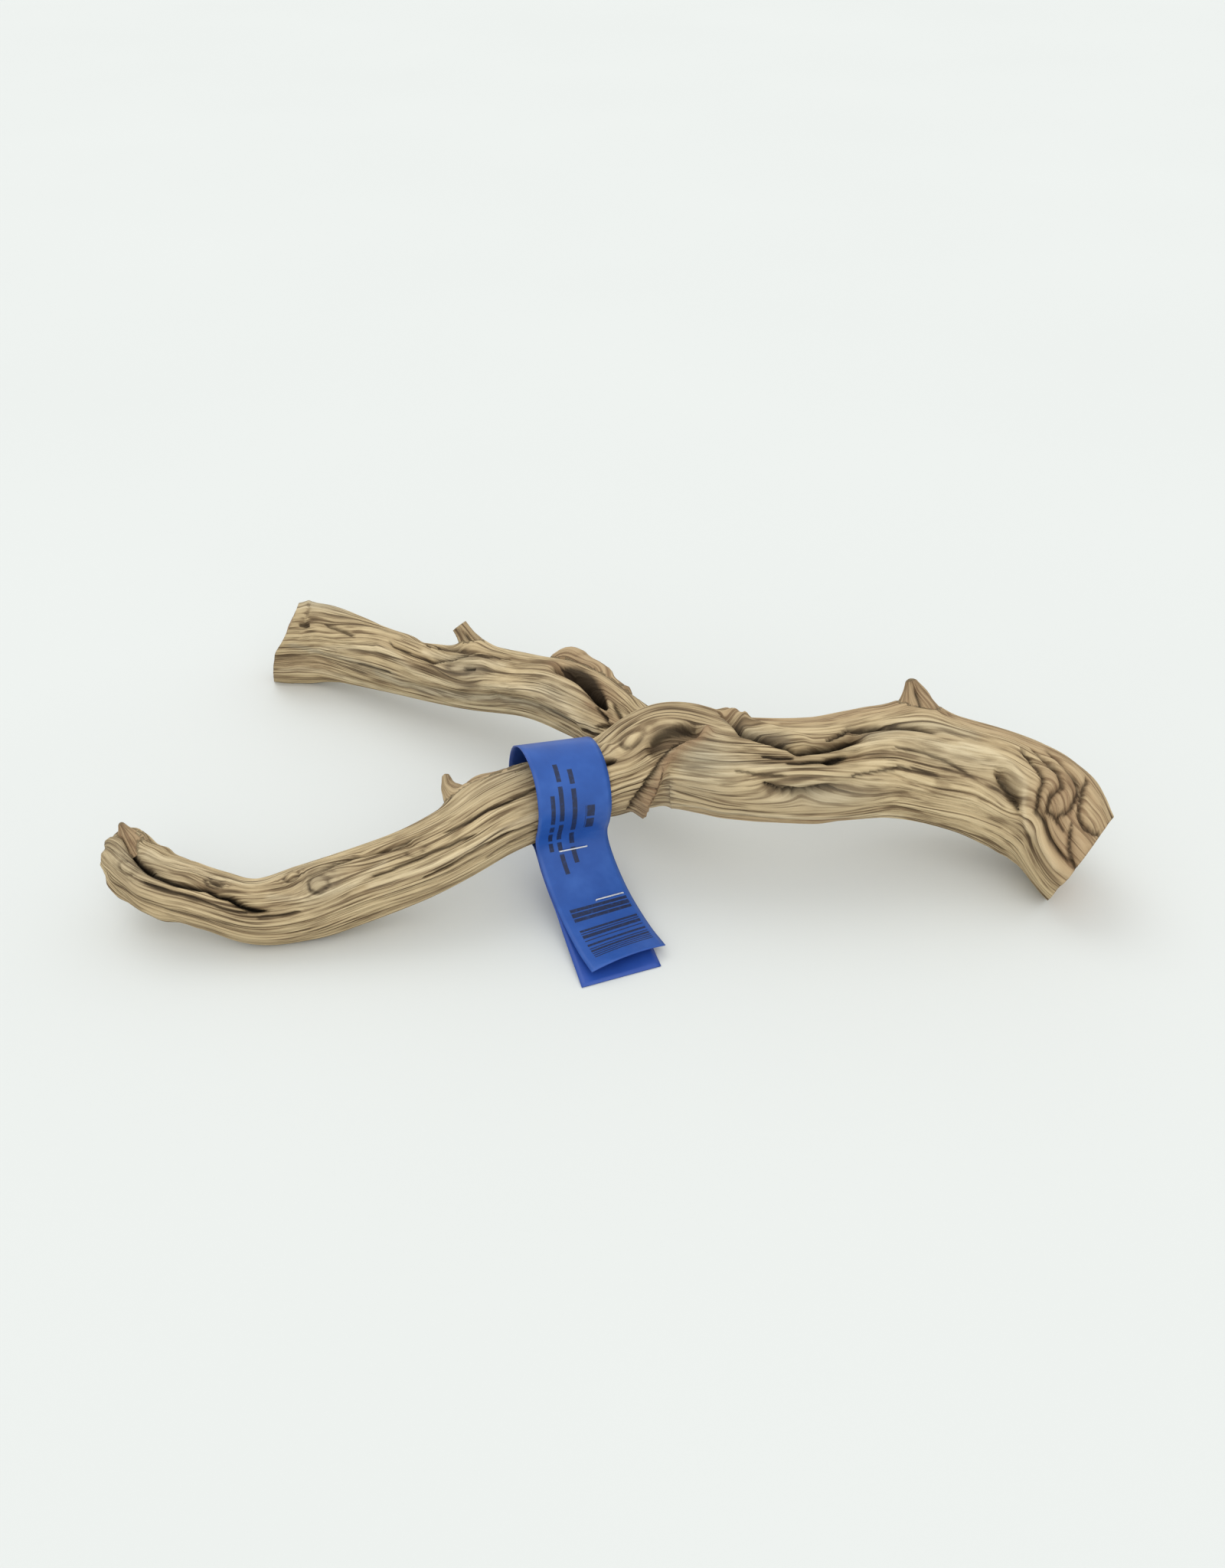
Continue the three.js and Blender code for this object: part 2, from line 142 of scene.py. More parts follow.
# Mesh helpers
def meshObject(name, points, quads, corners, materials, fields=None, faceMaterials=None, smoothed=True):
    # Points in mm, quads and triangles as index arrays; one attribute a field.
    data = bpy.data.meshes.new(name)
    loops = np.concatenate([quads.ravel(), corners.ravel()]).astype(np.int32)
    starts = np.concatenate([4 * np.arange(len(quads)), 4 * len(quads) + 3 * np.arange(len(corners))])
    data.vertices.add(len(points))
    data.vertices.foreach_set("co", (points * mm).astype(np.float32).ravel())
    data.loops.add(len(loops))
    data.loops.foreach_set("vertex_index", loops)
    data.polygons.add(len(starts))
    data.polygons.foreach_set("loop_start", starts.astype(np.int32))
    data.polygons.foreach_set("use_smooth", np.full(len(starts), smoothed))
    if faceMaterials is not None:
        data.polygons.foreach_set("material_index", faceMaterials.astype(np.int32))
    for key, values in (fields or {}).items():
        vector = values.ndim == 2
        layer = data.attributes.new(key, "FLOAT_VECTOR" if vector else "FLOAT", "POINT")
        layer.data.foreach_set("vector" if vector else "value", values.astype(np.float32).ravel())
    data.update(calc_edges=True)
    data.validate()
    for material in materials:
        data.materials.append(material)
    made = bpy.data.objects.new(name, data)
    bpy.context.scene.collection.objects.link(made)
    return made


def tubeFaces(points, rings, sides):
    # Quads round a tube of rings, with a fan on the centre point at each end, all facing outwards.
    i, j = np.meshgrid(np.arange(rings - 1), np.arange(sides), indexing="ij")
    a = i * sides + j
    b = i * sides + (j + 1) % sides
    quads = np.stack([a, b, b + sides, a + sides], -1).reshape(-1, 4)
    j = np.arange(sides)
    k = (j + 1) % sides
    first, last, end = rings * sides, rings * sides + 1, (rings - 1) * sides
    fans = np.concatenate(
        [np.stack([np.full(sides, first), k, j], -1), np.stack([np.full(sides, last), end + j, end + k], -1)]
    )
    p, q, r = points[quads[:, 0]], points[quads[:, 1]], points[quads[:, 2]]
    if np.einsum("ij,ij->i", p, np.cross(q, r)).sum() < 0:
        quads, fans = quads[:, ::-1], fans[:, ::-1]
    return quads, fans


# The wood's shape
relief = {  # how both limbs are cut; lengths in mm
    "ridgePower": 0.7,        # of |sin| round the limb: round crests, narrow valleys
    "ridgeMean": 0.62,        # what that comes to on average, taken off
    "ridgeTop": 0.38,         # what is left above the average
    "bankPower": 0.75,        # of the grain's valley sides
    "bankMean": 0.82,
    "sawReach": 26,           # how far from a saw cut the wood is led to it
    "waveReach": 26,          # how far the waves take to grow
    "ragged": (0.4, 0.35),    # how far cracks stray along and across the grain
    "foldDip": (1.6, 2.2, 1.3),    # depth, half width and steepness of a fold
    "foldShade": (0.5, 1.9, 1.8),  # darkness, half width and steepness of its shade
    # the darkness below is painted shade at the crack's bottom
    "foldCrack": (1.0, 1.5, 0.7),  # half width, depth and darkness of the crack in it
}


def smooth(x):
    # 3x^2 - 2x^3, level at 0 and 1.
    return x * x * (3 - 2 * x)


def lattice(i, j, seed):
    # The fraction of a large sine, from -1 to 1: the same for a cell each time.
    v = np.sin(i * 127.1 + j * 311.7 + seed * 74.7) * 43758.5453
    return 2 * (v - np.floor(v)) - 1


def ringNoise(turns, along, cells, seed):
    # Lattice values joined by 3x^2 - 2x^3 both ways; it closes on itself after one turn.
    x = (turns - np.floor(turns)) * cells
    i, j = np.floor(x), np.floor(along)
    u, v = smooth(x - i), smooth(along - j)
    i = i % cells
    k = (i + 1) % cells
    a = lattice(i, j, seed) * (1 - u) + lattice(k, j, seed) * u
    b = lattice(i, j + 1, seed) * (1 - u) + lattice(k, j + 1, seed) * u
    return a * (1 - v) + b * v


def grooveNoise(turns, along, cells, seed):
    # As ringNoise, with the sign changing from each cell to the next: one long line of zeros a cell.
    x = (turns - np.floor(turns)) * cells
    i, j = np.floor(x), np.floor(along)
    u, v = smooth(x - i), smooth(along - j)
    i = i % cells
    k = (i + 1) % cells
    left = (0.6 + 0.4 * lattice(i, j, seed)) * (1 - v) + (0.6 + 0.4 * lattice(i, j + 1, seed)) * v
    right = (0.6 + 0.4 * lattice(k, j, seed)) * (1 - v) + (0.6 + 0.4 * lattice(k, j + 1, seed)) * v
    return (left * (1 - u) - right * u) * (1 - 2 * (i % 2))


def wrapped(angle):
    # The angle less its nearest whole turns, so within half a turn of 0.
    return angle - turn * np.round(angle / turn)


def curveThrough(stations, share):
    # Catmull-Rom through the rows, in equal steps of share, its ends carried on straight.
    p = np.asarray(stations, float)
    p = np.vstack([2 * p[0] - p[1], p, 2 * p[-1] - p[-2]])
    spans = len(p) - 3
    f = np.clip(share, 0, 1) * spans
    i = np.minimum(f.astype(int), spans - 1)
    w = (f - i)[:, None]
    a, b, c, d = p[i], p[i + 1], p[i + 2], p[i + 3]
    m, n = (c - a) / 2, (d - b) / 2
    return (2 * b - 2 * c + m + n) * w**3 + (3 * c - 3 * b - 2 * m - n) * w**2 + m * w + b


def runAlong(stations):
    # The length walked at each of 4001 shares of the curve.
    shares = np.linspace(0, 1, 4001)
    line = curveThrough(stations, shares)[:, :3]
    return shares, np.concatenate([[0], np.cumsum(np.linalg.norm(np.diff(line, axis=0), axis=1))])


def frameAlong(stations, share, reference):
    # Centre and half sizes, then unit directions: along, side = along x reference, up = side x along.
    rows = curveThrough(stations, share)
    ahead = curveThrough(stations, np.minimum(share + 1e-4, 1))[:, :3]
    along = ahead - curveThrough(stations, np.maximum(share - 1e-4, 0))[:, :3]
    along /= np.linalg.norm(along, axis=1)[:, None]
    side = np.cross(along, reference)
    side /= np.linalg.norm(side, axis=1)[:, None]
    return rows[:, :3], rows[:, 3], rows[:, 4], along, side, np.cross(side, along)


def ringPlaces(stretches, length):
    # Equal steps within each stretch, as near to its spacing as a whole number of them allows.
    places = [np.zeros(1)]
    for end, spacing in stretches:
        start, stop = places[-1][-1], min(end, length)
        count = max(1, round((stop - start) / spacing))
        places.append(np.linspace(start, stop, count + 1)[1:])
    return np.concatenate(places)


def grainAngle(limb, s, turns, radius):
    # The turn round the limb plus slow noise, plus height sin(turn (s + 3 angle) / length) near a wavy end.
    # Round a knot y becomes y/2 + tanh(2y / size) sqrt(y^2/4 + size^2 exp(-x^2)), fading away from it.
    wander = 0.03 * ringNoise(turns, s / 58, 4, limb["seed"] + 1)
    wander = wander + 0.011 * ringNoise(turns, s / 24, 8, limb["seed"] + 2)
    angle = turn * (turns + wander)
    if "flow" in limb:  # lines led round the limb by smooth steps of degrees, most on its upper side
        places, degrees = np.array(limb["flow"], float).T
        n = np.clip(np.searchsorted(places, s, "right") - 1, 0, len(places) - 2)
        w = smooth(np.clip((s - places[n]) / (places[n + 1] - places[n]), 0, 1))
        led = degrees[n] * (1 - w) + degrees[n + 1] * w
        angle = angle + np.radians(led) * np.clip(0.6 + 0.5 * np.sin(angle), 0, 1)
    if "wave" in limb:
        start, height, length = limb["wave"]
        grown = smooth(np.clip((s - start) / relief["waveReach"], 0, 1))
        rise = grown * np.clip(0.4 + np.sin(angle - 0.2), 0, 1)
        angle = angle + rise * height * np.sin(turn * (s + 3 * angle) / length) / radius
    for along, degrees, size, _ in limb["knots"]:
        x = (s - along) / (2.2 * size)
        y = wrapped(angle - math.radians(degrees)) * radius
        opened = np.tanh(y / (0.5 * size)) * np.sqrt(y * y / 4 + size * size * np.exp(-x * x))
        angle = angle + ((y / 2 + opened - y) * np.exp(-((y / (3 * size)) ** 2))) / radius
    return angle


def awayFrom(line, s, angle, radius):
    # Distance on the unrolled limb to a line of (along, degrees) points, and the share of it walked there.
    best = np.full(s.shape, 1e9)
    share = np.zeros(s.shape)
    spans = len(line) - 1
    for n, ((s0, a0), (s1, a1)) in enumerate(zip(line, line[1:])):
        dx, dy = s1 - s0, math.radians(a1 - a0) * radius
        x, y = s - s0, wrapped(angle - math.radians(a0)) * radius
        t = np.clip((x * dx + y * dy) / (dx * dx + dy * dy), 0, 1)
        away = np.hypot(x - t * dx, y - t * dy)
        nearer = away < best
        best = np.where(nearer, away, best)
        share = np.where(nearer, (n + t) / spans, share)
    return best, share


def faded(strokes, s, angle, radius):
    # The strongest stroke at each point: amount exp(-(away / half width)^2).
    made = np.zeros(s.shape)
    for halfWidth, amount, line in strokes:
        away, _ = awayFrom(line, s, angle, radius)
        made = np.maximum(made, amount * np.exp(-((away / halfWidth) ** 2)))
    return made


def woodFields(limb, s, turns, angle, radius):
    # The rise over the oval section, how pale and greyed each point is, and where shade and highlight are
    # painted: painted shade in valleys and cracks, painted highlight on crests.
    # Rise = noise + ridges |sin|^power + valleys min(1, |noise| sharpness)^power
    #        - hollows depth exp(-1.4 (away / width)^2) - cracks depth smooth(1.25 - away / width).
    seed = limb["seed"]
    rise = limb["swell"] * ringNoise(turns, s / 34, 5, seed)
    strength = 0.62 + 0.38 * ringNoise(turns, s / 60, 5, seed + 3)
    ridge = np.abs(np.sin(math.pi * limb["ridges"] * turns)) ** relief["ridgePower"] - relief["ridgeMean"]
    rise = rise + limb["ridgeDepth"] * strength * ridge
    # painted shade in the valleys between the ridges, painted highlight on their crests
    valleyShade = np.clip(-ridge / relief["ridgeMean"], 0, 1) ** 3 * strength * 0.3
    crestHighlight = np.clip(ridge / relief["ridgeTop"], 0, 1) * strength
    # grain: valleys where the noise passes 0, with painted shade in them
    for n, (cells, stretch, depth, sharpness) in enumerate(limb["grain"]):
        sway = 0.5 * ringNoise(turns, s / 60, 6, seed + 20)
        drawn = grooveNoise(turns, s / stretch + sway, cells, seed + 30 + n)
        bank = np.minimum(1, np.abs(drawn) * sharpness) ** relief["bankPower"]
        weight = 0.7 + 0.8 * ringNoise(turns, s / 38, 9, seed + 40 + n)
        change = 0.7 * ringNoise(turns + 0.5 / cells, s / 27, cells, seed + 45 + n)
        weight = np.clip(weight + change, 0.05, 1.4)
        rise = rise + depth * weight * (bank - relief["bankMean"])
        valleyShade = np.maximum(valleyShade, (1 - bank) ** 1.5 * weight * min(0.95, 0.35 + depth * 0.7))
    for along, spread, height in limb["lumps"]:
        bump = height * np.exp(-(((s - along) / spread) ** 2))
        rise = rise + bump * ringNoise(turns, s / 6.5, 14, seed + 60)
    crackShade = np.zeros(s.shape)
    for along, degrees, size, lift in limb["knots"]:
        x = (s - along) / (1.5 * size)
        y = wrapped(angle - math.radians(degrees)) * radius / size
        rise = rise + lift * np.exp(-(x * x + y * y))
    # eyes: grooves where an oval distance is 1 and 1.75, with painted shade in them, darker on one side
    for along, degrees, length, height, depth, darkness in limb["eyes"]:
        x, y = (s - along) / length, wrapped(angle - math.radians(degrees)) * radius / height
        q = np.hypot(x, y)
        ring = np.exp(-(((q - 1) / 0.28) ** 2)) + 0.5 * np.exp(-(((q - 1.75) / 0.25) ** 2))
        rise = rise - depth * ring + 0.9 * depth * np.exp(-((q / 0.6) ** 2))
        valleyShade = np.maximum(valleyShade, 0.6 * ring)
        # painted shade on the ring, darker on one side
        shaded = 0.55 + 0.45 * np.cos(np.arctan2(y, x) + 2.3)
        crackShade = np.maximum(crackShade, darkness * shaded * np.exp(-(((q - 1) / 0.2) ** 2)))
    strayAlong, strayAcross = relief["ragged"]
    ragged = s + strayAlong * ringNoise(turns, s / 4, 34, seed + 50)
    raggedAngle = angle + strayAcross * ringNoise(turns, s / 3.6, 30, seed + 51) / radius
    for halfWidth, depth, line in limb.get("pockets", []):  # steep-sided pockets, with painted shade inside
        away, _ = awayFrom(line, s, angle, radius)
        inside = np.exp(-((away / halfWidth) ** 4))
        rise = rise - depth * inside
        valleyShade = np.maximum(valleyShade, 0.8 * inside)
    for halfWidth, depth, line in limb["hollows"]:  # rounded hollows, or ribs where the depth is below 0
        away, _ = awayFrom(line, s, angle, radius)
        rise = rise - depth * np.exp(-1.4 * (away / halfWidth) ** 2)
        # painted shade in the deeper hollows
        if depth > 2:
            valleyShade = np.maximum(valleyShade, 0.35 * np.exp(-2.2 * (away / halfWidth) ** 2))
    folds = [(*relief["foldCrack"], line) for line in limb["folds"]]
    dip, dipWidth, dipSteepness = relief["foldDip"]
    dark, darkWidth, darkSteepness = relief["foldShade"]
    for line in limb["folds"]:
        away, share = awayFrom(line, s, angle, radius)
        taper = np.clip(6 * share * (1.1 - share), 0, 1)
        rise = rise - dip * taper * np.exp(-dipSteepness * (away / dipWidth) ** 2)
        valleyShade = np.maximum(valleyShade, dark * taper * np.exp(-darkSteepness * (away / darkWidth) ** 2))
    # the cracks get painted shade: near black at the bottom and softer round them
    for halfWidth, depth, darkness, line in limb["cracks"] + folds:  # steep cracks that narrow to their ends
        away, share = awayFrom(line, ragged, raggedAngle, radius)
        width = halfWidth * (0.35 + 0.65 * np.sqrt(np.clip(4 * share * (1 - share), 0, 1)))
        near = np.clip(1.25 - away / width, 0, 1)
        rise = rise - depth * smooth(near)
        crackShade = np.maximum(crackShade, np.clip(near * 1.5, 0, 1) ** 1.4 * darkness)
        valleyShade = np.maximum(valleyShade, 0.55 * np.exp(-((away / (width * 1.7)) ** 2)))
    greyed = np.zeros(s.shape)
    for along, degrees, length, height, amount in limb["patches"]:
        x = (s - along) / length
        y = wrapped(angle - math.radians(degrees)) * radius / height
        greyed = np.maximum(greyed, amount * np.exp(-(x * x + y * y)))
    fields = {
        "valleyShade": valleyShade,
        "crackShade": crackShade,
        "crestHighlight": crestHighlight,
        "greyed": np.maximum(greyed, faded(limb["greys"], s, angle, radius)),
        "pale": faded(limb["pale"], s, angle, radius),
        "stain": faded(limb["stains"], s, angle, radius),
    }
    return rise, fields


def coreOf(stations, count=120):
    # Points on the middle line, and the mean of half width and half height at each.
    rows = curveThrough(stations, np.linspace(0, 1, count))
    return rows[:, :3], (rows[:, 3] + rows[:, 4]) / 2


def filletRise(points, cores):
    # A smooth join's lift: spread/4 (1 - d/spread)^2, d being the distance to the other wood.
    flat = points.reshape(-1, 3)
    lift = np.zeros(len(flat))
    for (centres, radii), spread in cores:
        nearest = np.full(len(flat), 1e9)
        for centre, radius in zip(centres, radii):
            nearest = np.minimum(nearest, np.linalg.norm(flat - centre, axis=1) - radius)
        lift = np.maximum(lift, spread / 4 * np.clip(1 - np.abs(nearest) / spread, 0, 1) ** 2)
    return lift.reshape(points.shape[:-1])


mainLimb = {
    # centre x, y, z, half width, half height, in mm, from the snout at the left to the sawn end at the right
    "stations": [
        (-191.5, -66, 25, 6, 7), (-185.5, -69.5, 24.5, 11, 11.5), (-172, -79.5, 21.2, 12.5, 12.8),
        (-151, -85.5, 17.5, 11.5, 11.5), (-133, -87.5, 13.5, 12, 12.5), (-115, -83, 14.5, 14, 14),
        (-99, -79.5, 18.5, 14, 14), (-75, -73.5, 25.2, 13.5, 13.7), (-58, -65.5, 30.2, 14, 13.8),
        (-44, -58, 34.8, 14.6, 14.8), (-21, -47, 38.2, 14.6, 14.6), (1, -38.6, 42, 15.6, 15.8),
        (23, -33, 47.3, 21, 20.3), (49, -39, 46, 20.3, 20), (79, -40, 45.6, 20.8, 20.6),
        (110, -31.5, 43.5, 21.5, 22.3), (140, -32.3, 37.4, 21.6, 21.8), (160, -38, 32.6, 21, 23.2),
        (174.5, -48, 26.6, 19.6, 24.2), (182.5, -62.5, 19, 16.8, 22.6),
    ],
    # where a stretch ends, and its ring spacing
    "rings": [(75, 1.2), (135, 1.3), (200, 2.4), (310, 1.05), (360, 1.9), (420, 1.05)],
    "sides": 198,
    "seed": 3,
    "swell": 0.9,
    "ridges": 11,
    "ridgeDepth": 0.75,
    # cells round, stretch, depth, sharpness
    "grain": [(28, 60, 0.75, 3.2), (50, 46, 0.4, 2.4), (84, 34, 0.16, 1.8)],
    "wave": (356, 1.1, 24),  # start, height, length
    "endCut": (0.79, -0.5, -0.36),
    "knots": [  # along, degrees, size, lift
        (48, 83, 2.5, -1.5), (81, 88, 3, 0.6), (92, 59, 4.5, 0.6),
        (223, 74, 4.5, -0.4), (286, 4, 9, -2.5), (373, 38, 5, -2.5),
    ],
    "pockets": [  # half width, depth, line
        (4.2, 6.5, [(231, 47), (238, 54), (245, 65)]),
        (2.6, 2.5, [(276, 8), (285, 2), (293, 10)]),
        (2.3, 2.4, [(366, 47), (372, 38), (379, 29)]),
    ],
    "hollows": [  # half width, depth, line of (along, degrees)
        (2.6, 3.2, [(6, 96), (22, 67)]),
        (2.4, 2.0, [(22, 67), (44, 60)]),
        (2, 2.2, [(50, 58), (58, 54)]),
        (2.2, 3, [(58, 52), (68, 38)]),
        (5, -1.5, [(4, 40), (34, 28)]),
        (1.6, 1.5, [(110, 84), (128, 70)]),
        (2.0, -4.4, [(216, -42), (218, -12), (226, 14), (240, 36), (250, 70)]),
        (2.4, -1.6, [(347, 62), (358, 64), (370, 59), (378, 47), (382, 28), (391, 17), (407, 27)]),
        (1.8, -1.4, [(206, 96), (214, 78)]),
        (1.6, -1.3, [(214, 70), (220, 78), (227, 66)]),
        (1.9, 3.0, [(254, 116), (264, 80)]),
        (1.7, 3.2, [(264, 80), (285, 57)]),
        (3, -2.6, [(252, 136), (264, 100)]),
        (2.4, -2.2, [(264, 100), (286, 70)]),
        (2.1, 3.8, [(284, 56), (306, 65)]),
        (1.6, 1.8, [(304, 74), (336, 71)]),
        (2.4, 3.2, [(294, 42), (303, 48)]),
        (3.5, 2.5, [(274, 16), (286, -2)]),
        (3.5, 2.5, [(286, -2), (300, 16)]),
        (2.4, 1.4, [(366, 48), (383, 22)]),
        (5, 2.4, [(352, 150), (400, 140)]),
        (5, 2.5, [(250, 190), (330, 205)]),
        (4, 2, [(120, 215), (180, 190)]),
        (5, 2.2, [(300, -60), (380, -75)]),
    ],
    "cracks": [  # half width, depth, darkness, line
        (1.5, 4.0, 0.95, [
            (6, 98), (11, 85), (16, 77), (22, 67), (28, 58), (35, 56), (42, 60), (46, 62), (53, 55),
        ]),
        (1.3, 4.5, 1.0, [(50, 57), (54, 60), (57, 57), (59, 48), (62, 43), (68, 38)]),
        (1.2, 3, 0.9, [(47, 84), (51, 80)]),
        (1.0, 3, 0.9, [(3, 104), (10, 92)]),
        (0.7, 1.2, 0.6, [(26, 40), (44, 38), (62, 34)]),
        (0.7, 1.2, 0.6, [(88, 78), (104, 82), (122, 76), (138, 78)]),
        (0.7, 1.2, 0.7, [(66, 26), (80, 26)]),
        (0.7, 1.2, 0.7, [(112, 40), (130, 44), (150, 38)]),
        (0.7, 1.2, 0.6, [(128, 12), (150, 16), (172, 10)]),
        (0.7, 1.2, 0.7, [(140, 62), (166, 56), (184, 60)]),
        (0.7, 1.0, 0.6, [(150, -8), (176, -2)]),
        (1.3, 4, 1.0, [(207, 61), (213, 57)]),
        (1.6, 1.0, 0.8, [(229, 56), (236, 64), (245, 76)]),
        (0.9, 1.6, 0.85, [(213, -34), (214, -12), (221, 16), (234, 36), (243, 60)]),
        (0.6, 1.2, 0.75, [(218, -16), (224, 6), (232, 24)]),
        (1.7, 5, 1.0, [(252, 116), (258, 95), (264, 79), (272, 71), (284, 57)]),
        (1.7, 5.5, 1.0, [(282, 56), (290, 58), (297, 61), (305, 65)]),
        (0.9, 2.2, 0.9, [(294, 69), (303, 78), (318, 73), (336, 71)]),
        (0.8, 2.0, 0.9, [(280, 42), (295, 44)]),
        (0.8, 2.0, 0.9, [(272, 49), (282, 48)]),
        (1.7, 3.5, 1.0, [(292, 43), (299, 47)]),
        (0.8, 1.6, 0.9, [(273, 17), (278, 2), (285, -2), (292, 8)]),
        (0.7, 1.0, 0.7, [(300, 24), (322, 28), (340, 26)]),
        (0.7, 1.0, 0.6, [(262, 30), (280, 28)]),
        (0.7, 1.0, 0.6, [(318, 48), (338, 44), (352, 36)]),
        (1.5, 2.4, 0.75, [(366, 46), (373, 32), (381, 23)]),
    ],
    "folds": [  # wavy grooves
        [(371, 81), (377, 73), (383, 66), (386, 48), (389, 35), (401, 35), (411, 43)],
        [(374, 89), (380, 84), (387, 80), (391, 72), (390, 56), (393, 44), (403, 55)],
        [(379, 97), (388, 91), (396, 83), (399, 67), (398, 52)],
        [(394, 104), (398, 84), (402, 75), (407, 74), (413, 83)],
        [(403, 64), (408, 50), (414, 40)],
    ],
    "eyes": [  # along, degrees, length, height, depth, darkness
        (92, 59, 4.2, 3.4, 1.1, 0.9), (81, 88, 3.2, 2.6, 0.9, 0.5), (48, 83, 3, 2.4, 1.0, 0.8),
        (223, 74, 5, 3.6, 0.8, 0.7), (129, 57, 3, 2.2, 0.5, 0.3), (18, 50, 3.2, 2.6, 0.8, 0.3),
        (340, 104, 3, 2.4, 0.6, 0.3),
    ],
    "lumps": [(10, 28, 1.6), (214, 12, 0.9), (255, 18, 0.5), (392, 24, 0.3)],  # along, spread, height
    "ragged": 0.9,
    "patches": [  # along, degrees, length, height, amount of grey
        (251, 38, 12, 12, 0.9), (236, -4, 8, 8, 0.6), (291, 2, 17, 7, 0.8), (342, 52, 22, 6, 0.45),
        (373, 40, 9, 7, 0.3), (16, 66, 16, 8, 0.6), (93, 60, 10, 8, 0.5), (240, 55, 10, 7, 0.5),
        (180, 100, 40, 8, 0.4),
    ],
    # half width, amount, line
    "greys": [(3, 0.6, [(309, 66), (330, 74), (352, 80)]), (2.4, 0.6, [(256, 96), (264, 84), (280, 70)])],
    "pale": [  # half width, amount, line
        (1.6, 0.6, [(347, 62), (358, 64), (370, 59), (378, 47), (382, 28), (391, 17), (407, 27)]),
        (1.6, 0.9, [(215, -44), (250, -26), (290, -34), (330, -40)]),
        (1.4, 0.5, [(300, 56), (330, 60), (355, 52), (372, 56)]),
        (1.3, 0.7, [(110, 30), (150, 22), (190, 24)]),
        (1.2, 0.7, [(70, 62), (84, 42), (104, 40), (118, 56)]),
        (2.2, 0.7, [(20, 96), (60, 100), (90, 112)]),
        (1.5, 0.8, [(245, 22), (262, 40), (280, 36)]),
    ],
    "stains": [  # reddish brown: half width, amount, line
        (2.6, 0.9, [(216, -42), (218, -12), (226, 14), (240, 36), (250, 70)]),
        (11, 0.8, [(392, 66), (412, 50)]),
        (6, 0.5, [(256, 120), (300, 110), (350, 106), (386, 98), (414, 92)]),
        (5, 0.45, [(230, -50), (300, -48)]),
        (3, 0.4, [(236, 52), (246, 60)]),
    ],
}

